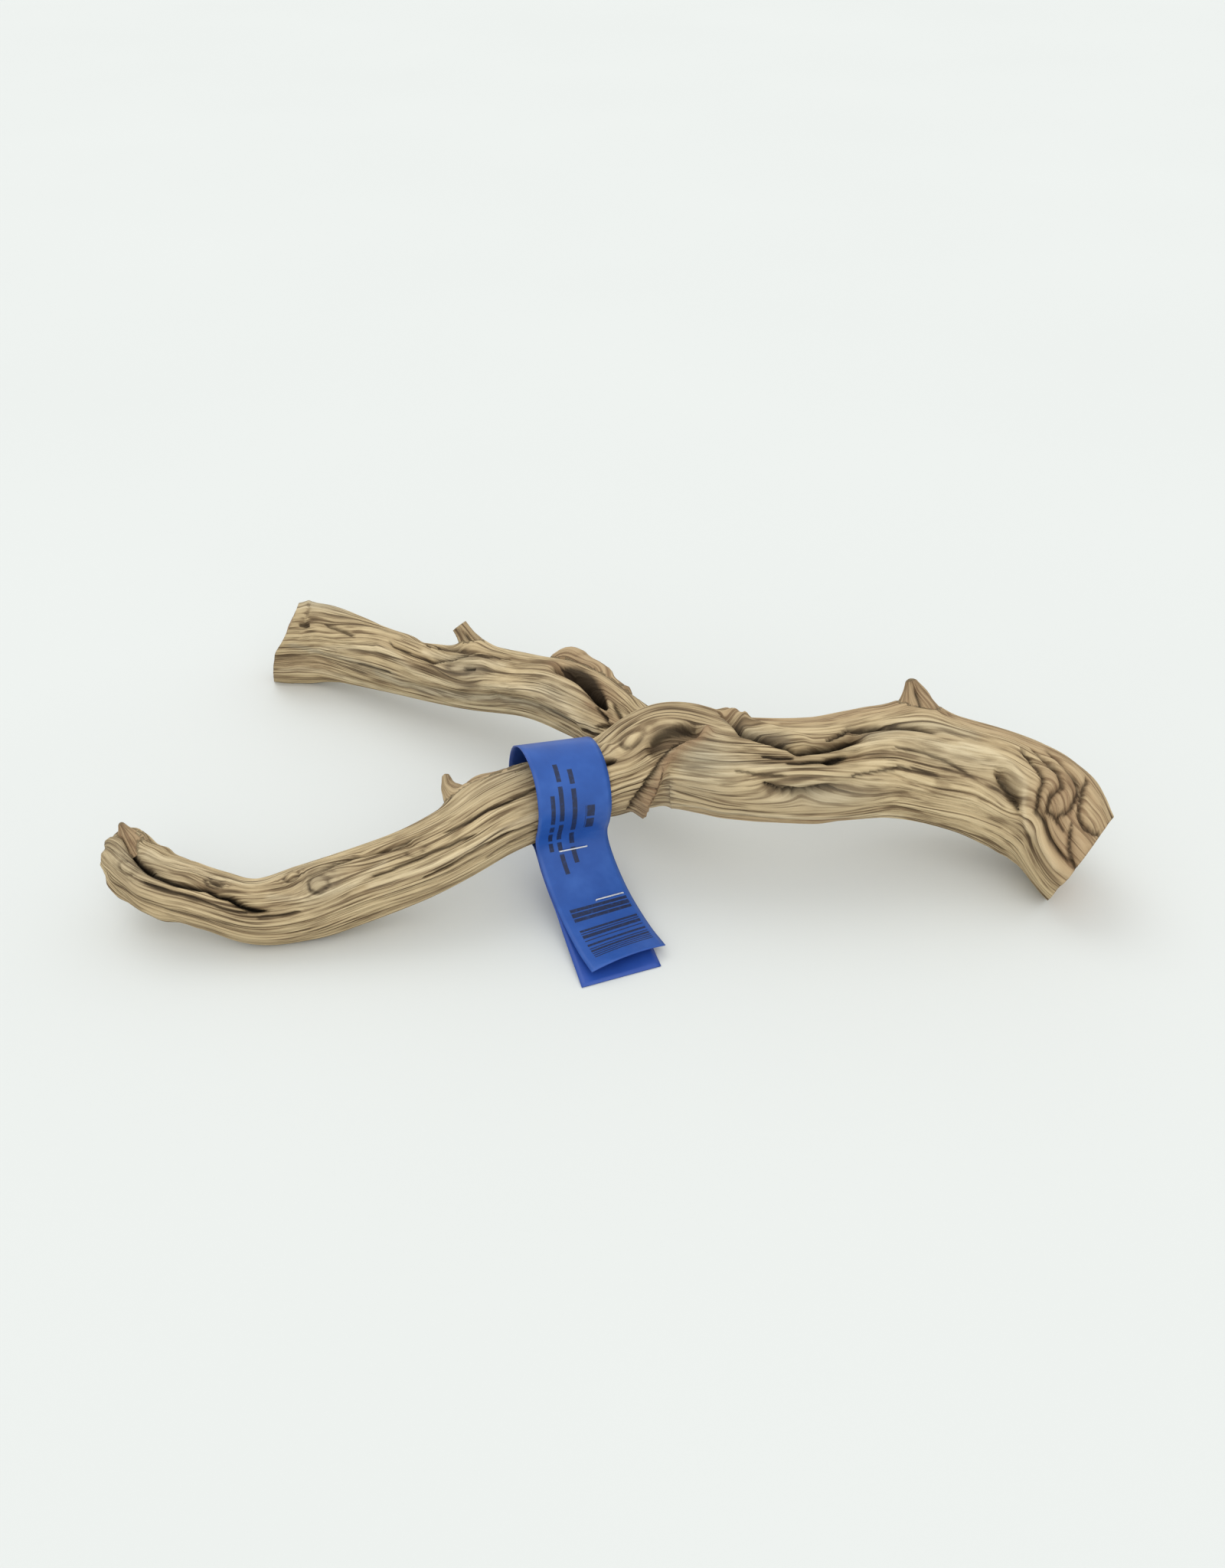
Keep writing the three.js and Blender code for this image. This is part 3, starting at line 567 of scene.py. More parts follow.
backLimb = {
    # from the flared sawn end at the back left into the fork
    "stations": [
        (-156, 103.5, 20.1, 11.5, 20.5), (-145, 102, 21.2, 11, 21.5), (-128, 97, 23.2, 12, 19.2),
        (-97, 78, 23.8, 12.8, 14.6), (-63, 59.5, 28.4, 14.6, 15), (-35, 39.5, 35.7, 13.8, 13.6),
        (-14, 20.5, 40, 14.6, 15), (3, 2, 40, 14, 13.5), (17, -16, 41, 11, 9.5), (33, -29, 44, 8, 8),
    ],
    "rings": [(60, 1.6), (150, 1.6), (205, 1.2), (240, 2.4)],
    "sides": 168,
    "seed": 11,
    "swell": 0.6,
    "ridges": 9,
    "ridgeDepth": 0.7,
    "grain": [(24, 80, 0.45, 3.2), (42, 60, 0.32, 2.4), (68, 44, 0.15, 1.8)],
    "flow": [(0, -14), (28, -6), (62, 20), (106, -16), (128, -14), (164, 6), (200, 10)],  # along, degrees
    "startCut": (-0.955, 0.02, 0.29),
    "knots": [(114, 42, 4.5, -1), (108, 92, 5, 2)],
    "hollows": [
        (3, -2.2, [(62, 52), (84, 32)]),
        (3, -1.6, [(84, 32), (144, 22)]),
        (3, -2, [(144, 24), (186, 12)]),
        (2.2, 1.6, [(68, 67), (92, 47)]),
        (3, 1.6, [(80, -8), (130, -6)]),
        (3, 1.8, [(130, -6), (184, 2)]),
        (1.8, -1.5, [(188, 44), (200, 60)]),
        (1.6, -1.3, [(197, 28), (207, 50)]),
        (6, 3, [(78, 110), (100, 112)]),
        (3.4, 5.5, [(162, 82), (176, 78), (188, 66)]),
        (2.2, 2.5, [(184, 60), (198, 52)]),
        (2, 1.6, [(190, 40), (204, 28)]),
        (5, 2, [(30, 130), (110, 150)]),
        (4, 2, [(60, 200), (150, 215)]),
    ],
    "cracks": [
        (2.6, 7, 1.0, [(160, 79), (168, 85), (177, 77), (188, 67), (194, 60)]),
        (2.4, 1.5, 0.95, [(161, 92), (170, 94), (178, 87), (189, 74)]),
        (0.9, 2.6, 0.9, [(190, 50), (196, 44), (201, 33)]),
        (0.9, 2.0, 0.9, [(112, 41), (118, 45)]),
        (0.7, 1.2, 0.7, [(66, 69), (81, 56), (93, 46), (103, 54), (114, 71)]),
        (0.8, 1.2, 0.7, [(5, 60), (18, 59)]),
        (0.7, 1.2, 0.6, [(30, 62), (46, 60)]),
        (0.7, 1.0, 0.5, [(52, 12), (70, 14)]),
        (0.7, 1.0, 0.5, [(84, 78), (110, 70), (134, 74)]),
        (0.8, 1.6, 0.8, [(186, 2), (204, 10)]),
    ],
    "folds": [[(196, 74), (204, 58), (212, 52)], [(196, 20), (206, 40), (214, 44)]],
    "eyes": [(114, 42, 12, 2.8, 0.6, 0.4)],
    "lumps": [(12, 14, 0.5), (206, 18, 1.2)],
    "ragged": 0.4,
    "bulge": 4.0,
    "patches": [
        (114, 42, 15, 4.5, 0.7), (60, 4, 30, 3.5, 0.4),
        (14, 92, 20, 4, 0.9), (168, 30, 16, 8, 0.5),
    ],
    "greys": [
        (2.6, 0.9, [(62, 6), (86, -14), (108, -14), (132, -9), (152, -6), (176, 2)]),
        (1.6, 0.7, [(6, 24), (30, 4), (56, 16), (72, 12)]),
    ],
    "pale": [
        (2, 0.9, [(4, -40), (40, -46), (80, -40), (130, -34), (180, -26)]),
        (1.4, 0.8, [
            (19, 6), (38, 28), (55, 48), (68, 51), (80, 33), (92, 17), (106, 12), (120, 12), (140, 22),
            (161, 34),
        ]),
        (3.5, 0.9, [(-4, 112), (20, 112), (34, 104)]),
        (1.5, 0.7, [(86, 62), (100, 58), (112, 62), (134, 58)]),
        (1.5, 0.7, [(160, 36), (182, 20), (196, 12)]),
    ],
    "stains": [
        (5, 0.4, [(2, -30), (30, -30)]), (5, 0.5, [(158, 92), (190, 80)]), (3, 0.5, [(186, 50), (204, 44)]),
    ],
}

growths = {  # short growths rooted in the limbs: stations as above, the last one the tip
    "thorn": {
        "stations": [
            (122.5, -29, 46, 10, 9), (121.5, -24, 57, 10, 7.5),
            (120.4, -20, 65, 6, 5), (118.4, -16.5, 72, 2, 2),
        ],
        "lengthwise": (0, 1, 0), "rings": 46, "sides": 56, "ridges": 7, "depth": 0.9, "fillet": 9,
        "dome": 1, "stain": 0.6,
        "splits": [(-98, 0.7, 1.6, 8, 27)],  # degrees, half width, depth, start, stop
    },
    "twig": {
        "stations": [
            (-58, 56, 36, 5, 5.4), (-61, 60.5, 43, 4.5, 4.3),
            (-63.8, 62.6, 47, 3.8, 3.4), (-67.2, 64.8, 51, 3.6, 3),
        ],
        "lengthwise": (0, 1, 0), "rings": 34, "sides": 40, "ridges": 5, "depth": 0.7, "fillet": 7,
        "dome": 0.2,
        "splits": [(-115, 0.6, 1.2, 6, 17)],
    },
    "spur": {
        "stations": [
            (-29, -50, 46, 6, 6), (-44, -51.5, 44, 6.5, 6), (-56, -53, 41, 5.6, 5.4),
            (-61.5, -49.5, 42.5, 3.4, 3.4), (-64, -44, 45.6, 1.3, 1.5),
        ],
        "lengthwise": (0, 0, 1), "rings": 54, "sides": 44, "ridges": 5, "depth": 0.7, "fillet": 7,
        "dome": 0.6,
    },
    "plate": {
        "stations": [
            (-25, 39, 38, 4, 7), (-16, 37, 44.4, 4.5, 9.5), (-7, 26, 44.8, 4.5, 9.6), (3, 12, 42, 5, 8.8),
            (11, -1, 42.5, 4, 6.5), (19, -11, 44, 2.5, 4),
        ],
        "lengthwise": (0, 0, 1), "rings": 64, "sides": 52, "ridges": 5, "depth": 0.6, "fillet": 2.5,
        "dome": 1, "squareness": 5, "rough": 0.9, "stain": 0.5,
    },
    "beak": {
        "stations": [(-179, -71, 28, 6, 6), (-183, -68, 33.5, 3.7, 3.4), (-185.8, -66, 38.4, 1.1, 1.3)],
        "lengthwise": (0, 1, 0), "rings": 34, "sides": 36, "ridges": 5, "depth": 0.6, "fillet": 3,
        "dome": 0.8, "stain": 0.7,
    },
}


def grainPlace(s, angle, radius):
    # The point unrolled to a straight rod, in mm: it carries the grain pattern with no seam.
    return np.stack([radius * np.cos(angle), radius * np.sin(angle), s + 0 * angle], -1)


def closedTube(points, fields, startDome, endDome, startSawn, endSawn):
    # The rings of a limb with both ends closed by shrinking rings, as flat arrays for one mesh.
    sides = points.shape[1]
    rings, values = [points], {key: [v] for key, v in fields.items()}
    values["sawn"] = [np.zeros(points.shape[:2])]
    hubs = []
    for at, dome, sawn, flip in ((0, startDome, startSawn, True), (-1, endDome, endSawn, False)):
        ring, inner = points[at], points[1 if at == 0 else -2]
        middle = ring.mean(0)
        tip = middle - inner.mean(0)
        tip = tip / np.linalg.norm(tip)
        shares = np.linspace(1, 0, 12)[1:-1]
        cap = middle + shares[:, None, None] * (ring - middle) + tip * dome * (1 - shares[:, None, None] ** 2)
        added = {key: np.repeat(v[at][None], len(shares), 0) for key, v in fields.items()}
        added["grain"] = added["grain"] * np.stack([shares, shares, np.ones(len(shares))], -1)[:, None, :]
        for key in ("crackShade", "valleyShade", "crestHighlight", "pale", "stain"):
            added[key] = added[key] * shares[:, None] ** 2
        added["sawn"] = np.full(cap.shape[:2], float(sawn))
        order = slice(None, None, -1) if flip else slice(None)
        rings.insert(0 if flip else len(rings), cap[order])
        for key, v in added.items():
            values[key].insert(0 if flip else len(values[key]), v[order])
        hubs.append((middle + tip * dome, sawn, float(fields["grain"][at][0][2])))
    made = np.concatenate(rings)
    count = len(made)
    flat = np.vstack([made.reshape(-1, 3), [hub[0] for hub in hubs]])
    out = {}
    for key, parts in values.items():
        joined = np.concatenate(parts)
        if key == "grain":
            out[key] = np.vstack([joined.reshape(-1, 3), [(0, 0, hub[2]) for hub in hubs]])
        else:
            centres = [float(hub[1]) if key == "sawn" else 0.0 for hub in hubs]
            out[key] = np.concatenate([joined.ravel(), centres])
    quads, fans = tubeFaces(flat, count, sides)
    return flat, out, quads, fans


def limbPiece(limb, others, offset):
    # An oval section with its relief carried along the curve; saw cuts by sliding points along the limb.
    stations = limb["stations"]
    shares, walked = runAlong(stations)
    length = walked[-1]
    places = ringPlaces(limb["rings"], length)
    centre, a, b, along, side, up = frameAlong(stations, np.interp(places, walked, shares), (0, 0, 1))
    turns = np.broadcast_to(np.arange(limb["sides"])[None] / limb["sides"], (len(places), limb["sides"]))
    s = np.broadcast_to(places[:, None], turns.shape)
    a, b = a[:, None], b[:, None]
    radius = (a + b) / 2
    angle = grainAngle(limb, s, turns, radius)
    oval = a * b / np.hypot(b * np.cos(angle), a * np.sin(angle))
    rise, fields = woodFields(limb, s, turns, angle, radius)
    outward = side[:, None] * np.cos(angle)[..., None] + up[:, None] * np.sin(angle)[..., None]
    plain = centre[:, None] + outward * oval[..., None]
    reach = oval + rise + filletRise(plain, others)
    shift = outward * reach[..., None]
    slide = np.zeros(s.shape)
    for key, gone in (("startCut", s), ("endCut", length - s)):
        if key in limb:
            cut = np.array(limb[key])
            weight = smooth(np.maximum(0, 1 - gone / relief["sawReach"]))
            slide = slide - (shift @ cut) / (along @ cut)[:, None] * weight
            slide = slide + limb["ragged"] * weight * ringNoise(turns, 0.5 + 0 * s, 16, limb["seed"] + 70)
            bulge = np.maximum(0, np.sin(angle)) ** 2 - 0.35 * np.exp(-((wrapped(angle + 0.1) / 0.7) ** 2))
            slide = slide + limb.get("bulge", 0) * weight * bulge
    points = centre[:, None] + shift + along[:, None] * slide[..., None]
    points[..., 2] = np.maximum(0, points[..., 2])
    fields["grain"] = grainPlace(s, turn * turns, 18.0) + np.array([0, offset, 0])
    startSawn, endSawn = "startCut" in limb, "endCut" in limb
    return closedTube(points, fields, 0 if startSawn else 1.5, 0 if endSawn else 1, startSawn, endSawn)


def growthPiece(growth, others, offset):
    # A small limb: an oval section with lengthwise ridges |sin|^0.7 and fine noise.
    rings, sides = growth["rings"], growth["sides"]
    shares, walked = runAlong(growth["stations"])
    places = np.linspace(0, walked[-1], rings)
    at = np.interp(places, walked, shares)
    centre, a, b, _, side, up = frameAlong(growth["stations"], at, growth["lengthwise"])
    turns = np.broadcast_to(np.arange(sides)[None] / sides, (rings, sides))
    s = np.broadcast_to(places[:, None], turns.shape)
    angle = turn * turns + 0.25 * ringNoise(turns, s / 9, 4, offset)
    a, b = a[:, None], b[:, None]
    ridge = np.abs(np.sin(math.pi * growth["ridges"] * turns)) ** 0.7 - 0.7
    drawn = ringNoise(turns, s / 11, 16, offset + 3)
    bank = np.minimum(1, np.abs(drawn) * 2.6) ** 0.75
    size = np.minimum(1, (a + b) / 10)
    rise = size * (growth["depth"] * ridge + 0.5 * (bank - 0.6))
    rise = rise + size * growth.get("rough", 0.5) * ringNoise(turns, s / 5, 6, offset + 5)
    crackShade = np.zeros(s.shape)
    # lengthwise splits, fading at their ends, with painted shade in them
    for degrees, halfWidth, depth, start, stop in growth.get("splits", []):
        away = wrapped(angle - math.radians(degrees)) * (a + b) / 2
        near = np.exp(-((away / halfWidth) ** 2)) * np.clip(np.minimum(s - start, stop - s) / 3, 0, 1)
        rise = rise - depth * near
        crackShade = np.maximum(crackShade, 0.9 * near)
    power = growth.get("squareness", 2)
    oval = (np.abs(np.cos(angle) / a) ** power + np.abs(np.sin(angle) / b) ** power) ** (-1 / power)
    outward = side[:, None] * np.cos(angle)[..., None] + up[:, None] * np.sin(angle)[..., None]
    plain = centre[:, None] + outward * oval[..., None]
    points = plain + outward * (rise + filletRise(plain, others))[..., None]
    points[..., 2] = np.maximum(0, points[..., 2])
    zero = np.zeros(s.shape)
    # painted shade in the valleys and splits, painted highlight on the ridge tops
    fields = {
        "valleyShade": np.maximum(np.clip(-ridge / 0.7, 0, 1) ** 2 * 0.5, (1 - bank) ** 1.5 * 0.7),
        "crackShade": crackShade,
        "crestHighlight": np.clip(ridge / 0.3, 0, 1) * 0.6,
        "greyed": zero + 0.1,
        "pale": zero,
        "stain": zero + growth.get("stain", 0.3),
        "grain": grainPlace(s, turn * turns, 8.0) + np.array([0, offset * 10, 0]),
    }
    return closedTube(points, fields, 0, growth["dome"], False, False)


wood = {
    "tones": [(0.0, (0.10, 0.066, 0.036)), (0.2, (0.26, 0.182, 0.10)), (0.38, (0.48, 0.365, 0.21)),
              (0.52, (0.62, 0.485, 0.285)), (0.72, (0.74, 0.60, 0.375)), (1.0, (0.84, 0.72, 0.49))],
    "silver": [(0.3, (0.20, 0.172, 0.122)), (0.5, (0.36, 0.32, 0.232)), (0.7, (0.52, 0.475, 0.36))],
    "endTones": [(0.2, (0.26, 0.155, 0.085)), (0.5, (0.44, 0.29, 0.17)), (0.8, (0.58, 0.42, 0.27))],
    "paleTone": (0.80, 0.67, 0.44),
    "stainTone": (0.36, 0.225, 0.125),
    # near black, painted shade at the bottom of cracks
    "crackShadeTone": (0.022, 0.015, 0.009),
    "toneShift": 0.215,       # taken off the mixed noises
    # painted highlight on the crests
    "crestHighlightAmount": 0.08,
    # painted shade in the valleys
    "valleyShadeAmount": 0.36,
    "lineDark": 0.36,
    "greyShare": 0.7,
    "crackShadeAmount": 0.96,
    "roughness": (0.72, 0.25),     # least, and what the fibres add
    "bump": (0.8, 0.0007),         # strength, and depth in metres
}


def grainLines(tree, grain, stretch, scale, width):
    # 1 on the thin edges between long cells drawn out along the grain, broken into lengths by slow noise.
    drawn = addNode(tree, "ShaderNodeMapping", {"Vector": grain, "Scale": (1, 1, stretch)}).outputs["Vector"]
    sizes = {"Vector": drawn, "Scale": scale}
    cells = addNode(tree, "ShaderNodeTexVoronoi", sizes, feature="DISTANCE_TO_EDGE")
    line = ramp(tree, cells.outputs["Distance"], [(0.0, 1.0), (width * 0.5, 0.85), (width, 0.0)])
    patch = noiseAt(tree, grain, (1, 1, 0.22), scale * 0.6, 1, 0.5)
    return maths(tree, "MULTIPLY", line, ramp(tree, patch, [(0.40, 0.05), (0.60, 1.0)]))


def woodMaterial():
    # Fibres, streaks and patches along the grain with painted highlight on crests and painted shade in
    # valleys, then paleness, silver, stain, sawn faces and painted shade in cracks.
    material, tree, shader = newMaterial("weatheredWood", Specular_IOR_Level=0.18)
    grain = attribute(tree, "grain", "Vector")
    valleyShade, crackShade, crestHighlight = attribute(tree, "valleyShade"), attribute(tree, "crackShade"), attribute(tree, "crestHighlight")
    greyed, pale, sawn = attribute(tree, "greyed"), attribute(tree, "pale"), attribute(tree, "sawn")
    stain = attribute(tree, "stain")
    fibres = noiseAt(tree, grain, (1, 1, 0.03), 1.4, 4, 0.65)
    streaks = noiseAt(tree, grain, (1, 1, 0.025), 0.34, 2, 0.5)
    patches = noiseAt(tree, grain, (1, 1, 0.5), 0.07, 2, 0.5)
    pits = noiseAt(tree, grain, (1, 1, 0.35), 1.6, 2, 0.5)
    lines = maths(
        tree,
        "MAXIMUM",
        grainLines(tree, grain, 0.03, 0.30, 0.075),
        maths(tree, "MULTIPLY", grainLines(tree, grain, 0.035, 0.66, 0.12), 0.6),
    )
    tone = maths(tree, "ADD", maths(tree, "MULTIPLY", streaks, 0.4), maths(tree, "MULTIPLY", fibres, 0.7))
    tone = maths(tree, "ADD", tone, maths(tree, "MULTIPLY", patches, 0.3))
    tone = maths(tree, "SUBTRACT", tone, wood["toneShift"])
    # painted highlight on the crests, painted shade in the valleys
    tone = maths(tree, "ADD", tone, maths(tree, "MULTIPLY", crestHighlight, wood["crestHighlightAmount"]))
    tone = maths(tree, "SUBTRACT", tone, maths(tree, "MULTIPLY", valleyShade, wood["valleyShadeAmount"]))
    tone = maths(tree, "SUBTRACT", tone, maths(tree, "MULTIPLY", lines, wood["lineDark"]), clamp=True)
    colour = ramp(tree, tone, wood["tones"])
    # grain lines and painted valley shade, kept dark in the pale and silver
    marks = maths(tree, "ADD", maths(tree, "MULTIPLY", lines, 0.5), maths(tree, "MULTIPLY", valleyShade, 0.35))
    clean = maths(tree, "SUBTRACT", fibres, marks)
    bleached = maths(tree, "MULTIPLY", pale, maths(tree, "ADD", clean, 0.25), clamp=True)
    colour = blended(tree, bleached, colour, wood["paleTone"])
    silver = ramp(tree, maths(tree, "ADD", clean, 0.08), wood["silver"])
    colour = blended(tree, maths(tree, "MULTIPLY", greyed, wood["greyShare"]), colour, silver)
    stained = maths(tree, "MULTIPLY", stain, maths(tree, "ADD", fibres, 0.3), clamp=True)
    colour = blended(tree, stained, colour, wood["stainTone"])
    flat = addNode(tree, "ShaderNodeVectorMath", {0: grain, 1: (1, 1, 0)}, operation="MULTIPLY").outputs[0]
    distance = addNode(tree, "ShaderNodeVectorMath", {0: flat}, operation="LENGTH").outputs["Value"]
    swayed = maths(tree, "ADD", maths(tree, "MULTIPLY", distance, 3.4), maths(tree, "MULTIPLY", patches, 6))
    bands = maths(tree, "SINE", swayed)
    endTone = maths(tree, "ADD", maths(tree, "MULTIPLY", bands, 0.07), pits)
    colour = blended(tree, sawn, colour, ramp(tree, endTone, wood["endTones"]))
    # painted shade: near black at the bottom of cracks
    opened = maths(tree, "MULTIPLY", crackShade, wood["crackShadeAmount"], clamp=True)
    colour = blended(tree, opened, colour, wood["crackShadeTone"])
    tree.links.new(colour, shader.inputs["Base Color"])
    least, added = wood["roughness"]
    roughness = maths(tree, "ADD", maths(tree, "MULTIPLY", fibres, added), least)
    tree.links.new(roughness, shader.inputs["Roughness"])
    height = maths(tree, "ADD", fibres, maths(tree, "MULTIPLY", pits, 0.4))
    height = maths(tree, "SUBTRACT", height, maths(tree, "MULTIPLY", lines, 0.8))
    height = maths(tree, "MULTIPLY", height, ramp(tree, sawn, [(0.0, 1.0), (1.0, 0.25)]))
    strength, depth = wood["bump"]
    bump = addNode(tree, "ShaderNodeBump", {"Height": height, "Strength": strength, "Distance": depth})
    tree.links.new(bump.outputs["Normal"], shader.inputs["Normal"])
    return material


def joinSolids(pieces):
    # One skin round all the pieces of wood.
    whole = pieces[0]
    for other in pieces[1:]:
        cut = whole.modifiers.new("join", "BOOLEAN")
        cut.operation = "UNION"
        cut.solver = "MANIFOLD"
        cut.object = other
        bpy.context.view_layer.update()
        evaluated = whole.evaluated_get(bpy.context.evaluated_depsgraph_get())
        joined = bpy.data.meshes.new_from_object(evaluated)
        whole.modifiers.clear()
        old = whole.data
        whole.data = joined
        bpy.data.meshes.remove(old)
        bpy.data.objects.remove(other)
    return whole


def buildBranch():
    material = woodMaterial()
    mainCore, backCore = coreOf(mainLimb["stations"]), coreOf(backLimb["stations"])
    near = {name: (coreOf(g["stations"], 30), g["fillet"]) for name, g in growths.items()}
    onMain = [near[name] for name in ("thorn", "spur", "beak")]
    onBack = [near[name] for name in ("twig", "plate")]
    parts = [("branch", limbPiece(mainLimb, [(backCore, 9), *onMain], 0))]
    print("stage: main limb shaped")
    parts.append(("backLimb", limbPiece(backLimb, [(mainCore, 9), *onBack], 200)))
    for n, (name, growth) in enumerate(growths.items()):
        cores = [(mainCore, growth["fillet"]), (backCore, growth["fillet"])]
        parts.append((name, growthPiece(growth, cores, 60 + 7 * n)))
    made = []
    for name, (points, fields, quads, fans) in parts:
        made.append(meshObject(name + "_wood", points, quads, fans, [material], fields))
    print("stage: back limb and growths shaped,", sum(len(o.data.polygons) for o in made), "faces")
    branch = joinSolids(made)
    branch.data.name = "branch"
    branch.data.polygons.foreach_set("use_smooth", np.ones(len(branch.data.polygons), bool))
    branch.data.calc_loop_triangles()
    print("stage: wood joined,", len(branch.data.loop_triangles), "triangles")
    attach(branch, "root")
    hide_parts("branch")


buildBranch()

# The tag
def stripes(*pairs):
    # Dark from the first to the second share of each pair; the ramp reads twice the share of the run.
    stops = []
    for start, stop in sorted(pairs):
        stops += [(2 * start, 1.0), (2 * stop, 0.0)]
    return stops


tag = {
    "origin": (-17, -47),
    "heading": 28,
    # forward, height, sideways, heading, tilt
    "run": [
        (62, 4.6, -5.6, 30, -1), (51, 4.6, -5.2, 30, -2), (40, 5.8, -4.4, 30, -4),
        (30, 8.2, -3.7, 30, -6), (22.4, 12, -3.4, 30, -7), (16.2, 17, -3.3, 30, -8),
        (12.2, 22.4, -3.3, 30, -9), (12, 28.4, -3.8, 29, -10), (15, 36, -4.1, 29, -11),
        (16.4, 44.5, -4.2, 29, -11), (13.6, 53.5, -3.7, 29, -11), (7.4, 59.6, -3, 29, -10.5),
        (-1.5, 61.6, -2.2, 29, -10.5), (-10.2, 58, -1.4, 29, -10.5), (-16, 50.5, -0.6, 29, -10),
        (-18, 40.5, 0, 25, -8), (-16.8, 30.5, 0.4, 24, -5), (-11.4, 22.8, 0.5, 25, -2),
        (-3, 19.8, 0, 28, -4), (5.4, 21.8, -2, 30, -8), (10.9, 21.6, -3.3, 30, -9),
        (15.2, 16, -3.3, 30, -8), (21.8, 11.1, -3.6, 30, -7), (29.6, 7.2, -4.2, 30, -6),
        (42, 3.6, -6, 27, -2), (65.4, 0.4, -10.5, 22, 0),
    ],
    "width": 31.75,
    "thickness": 0.4,
    "steps": 300,
    "columns": 16,
    "arch": 1.6,
    "archShare": 0.09,        # how much of the run arches at the upper tail's end
    "printedTones": [(0.3, (0.013, 0.072, 0.32)), (0.5, (0.017, 0.087, 0.37)), (0.72, (0.030, 0.116, 0.435))],
    "plainTones": [(0.3, (0.018, 0.066, 0.33)), (0.7, (0.024, 0.084, 0.39))],
    "inkTone": (0.010, 0.015, 0.04),
    # low and high edge across the width (0 to 1), and the dark stretches along the run
    "print": [
        (0.165, 0.225, stripes((0.238, 0.262), (0.270, 0.294), (0.302, 0.318), (0.326, 0.384))),
        (0.285, 0.345, stripes(
            (0.182, 0.228), (0.236, 0.262), (0.272, 0.322), (0.332, 0.398), (0.406, 0.436))),
        (0.455, 0.520, stripes((0.202, 0.242), (0.252, 0.290), (0.300, 0.392), (0.400, 0.424))),
        (0.655, 0.765, stripes((0.302, 0.330), (0.334, 0.360))),
        (0.635, 0.643, stripes((0.302, 0.360))),
        (0.14, 0.93, stripes(
            (0.020, 0.0215), (0.024, 0.0265), (0.0285, 0.0295), (0.033, 0.036), (0.038, 0.0395),
            (0.043, 0.047), (0.049, 0.0505), (0.0545, 0.0565), (0.060, 0.0645), (0.067, 0.0685),
            (0.072, 0.0745),
            (0.0905, 0.0972), (0.0990, 0.1055), (0.1075, 0.1145))),
    ],
}


def level(degrees):
    # The level direction (cos, sin, 0).
    turned = np.radians(degrees)
    return np.stack([np.cos(turned), np.sin(turned), 0 * turned], -1)


def bandFrame(share):
    # The middle line, the width's direction by its heading and tilt, and the face square to both.
    run = np.array(tag["run"], float)
    forward, aside = level(np.float64(tag["heading"] - 90)), level(np.float64(tag["heading"]))
    line = np.array([*tag["origin"], 0]) + run[:, :1] * forward + run[:, 2:3] * aside
    line[:, 2] = run[:, 1]
    rows = curveThrough(np.hstack([line, run[:, 3:]]), share)
    ahead = curveThrough(line, np.minimum(share + 1e-4, 1)) - curveThrough(line, np.maximum(share - 1e-4, 0))
    along = ahead / np.linalg.norm(ahead, axis=1)[:, None]
    across = level(rows[:, 3]) * np.cos(np.radians(rows[:, 4]))[:, None]
    across[:, 2] = np.sin(np.radians(rows[:, 4]))
    face = np.cross(across, along)
    return rows[:, :3], across, face / np.linalg.norm(face, axis=1)[:, None]


def tagMaterials():
    # Printed paper for the outer face, and plain paper for the inner face and the edges.
    made = []
    for printed in (True, False):
        material, tree, shader = newMaterial(
            "printedPaper" if printed else "plainPaper", Roughness=0.42, Specular_IOR_Level=0.45
        )
        place = addNode(tree, "ShaderNodeTexCoord").outputs["Object"]
        uv = addNode(tree, "ShaderNodeUVMap", uv_map="strip").outputs["UV"]
        cloud = noiseAt(tree, place, (1, 1, 1), 60, 3, 0.6)
        fine = noiseAt(tree, place, (1, 1, 1), 900, 2, 0.5)
        blue = ramp(tree, cloud, tag["printedTones"] if printed else tag["plainTones"])
        if printed:
            across = addNode(tree, "ShaderNodeSeparateXYZ", {0: uv}).outputs
            u, w = across[0], across[1]
            ink = None
            for low, high, stops in tag["print"]:
                ends = ramp(tree, w, [(0, 0.0), (low, 1.0), (high, 0.0)], "CONSTANT")
                marks = ramp(tree, maths(tree, "MULTIPLY", u, 2.0), [(0, 0.0)] + stops, "CONSTANT")
                line = maths(tree, "MULTIPLY", ends, marks)
                ink = line if ink is None else maths(tree, "MAXIMUM", ink, line)
            worn = ramp(tree, fine, [(0.3, 0.72), (0.5, 0.93)])
            blue = blended(tree, maths(tree, "MULTIPLY", ink, worn), blue, tag["inkTone"])
        tree.links.new(blue, shader.inputs["Base Color"])
        bump = addNode(tree, "ShaderNodeBump", {"Height": fine, "Strength": 0.15, "Distance": 0.0002})
        tree.links.new(bump.outputs["Normal"], shader.inputs["Normal"])
        made.append(material)
    return made


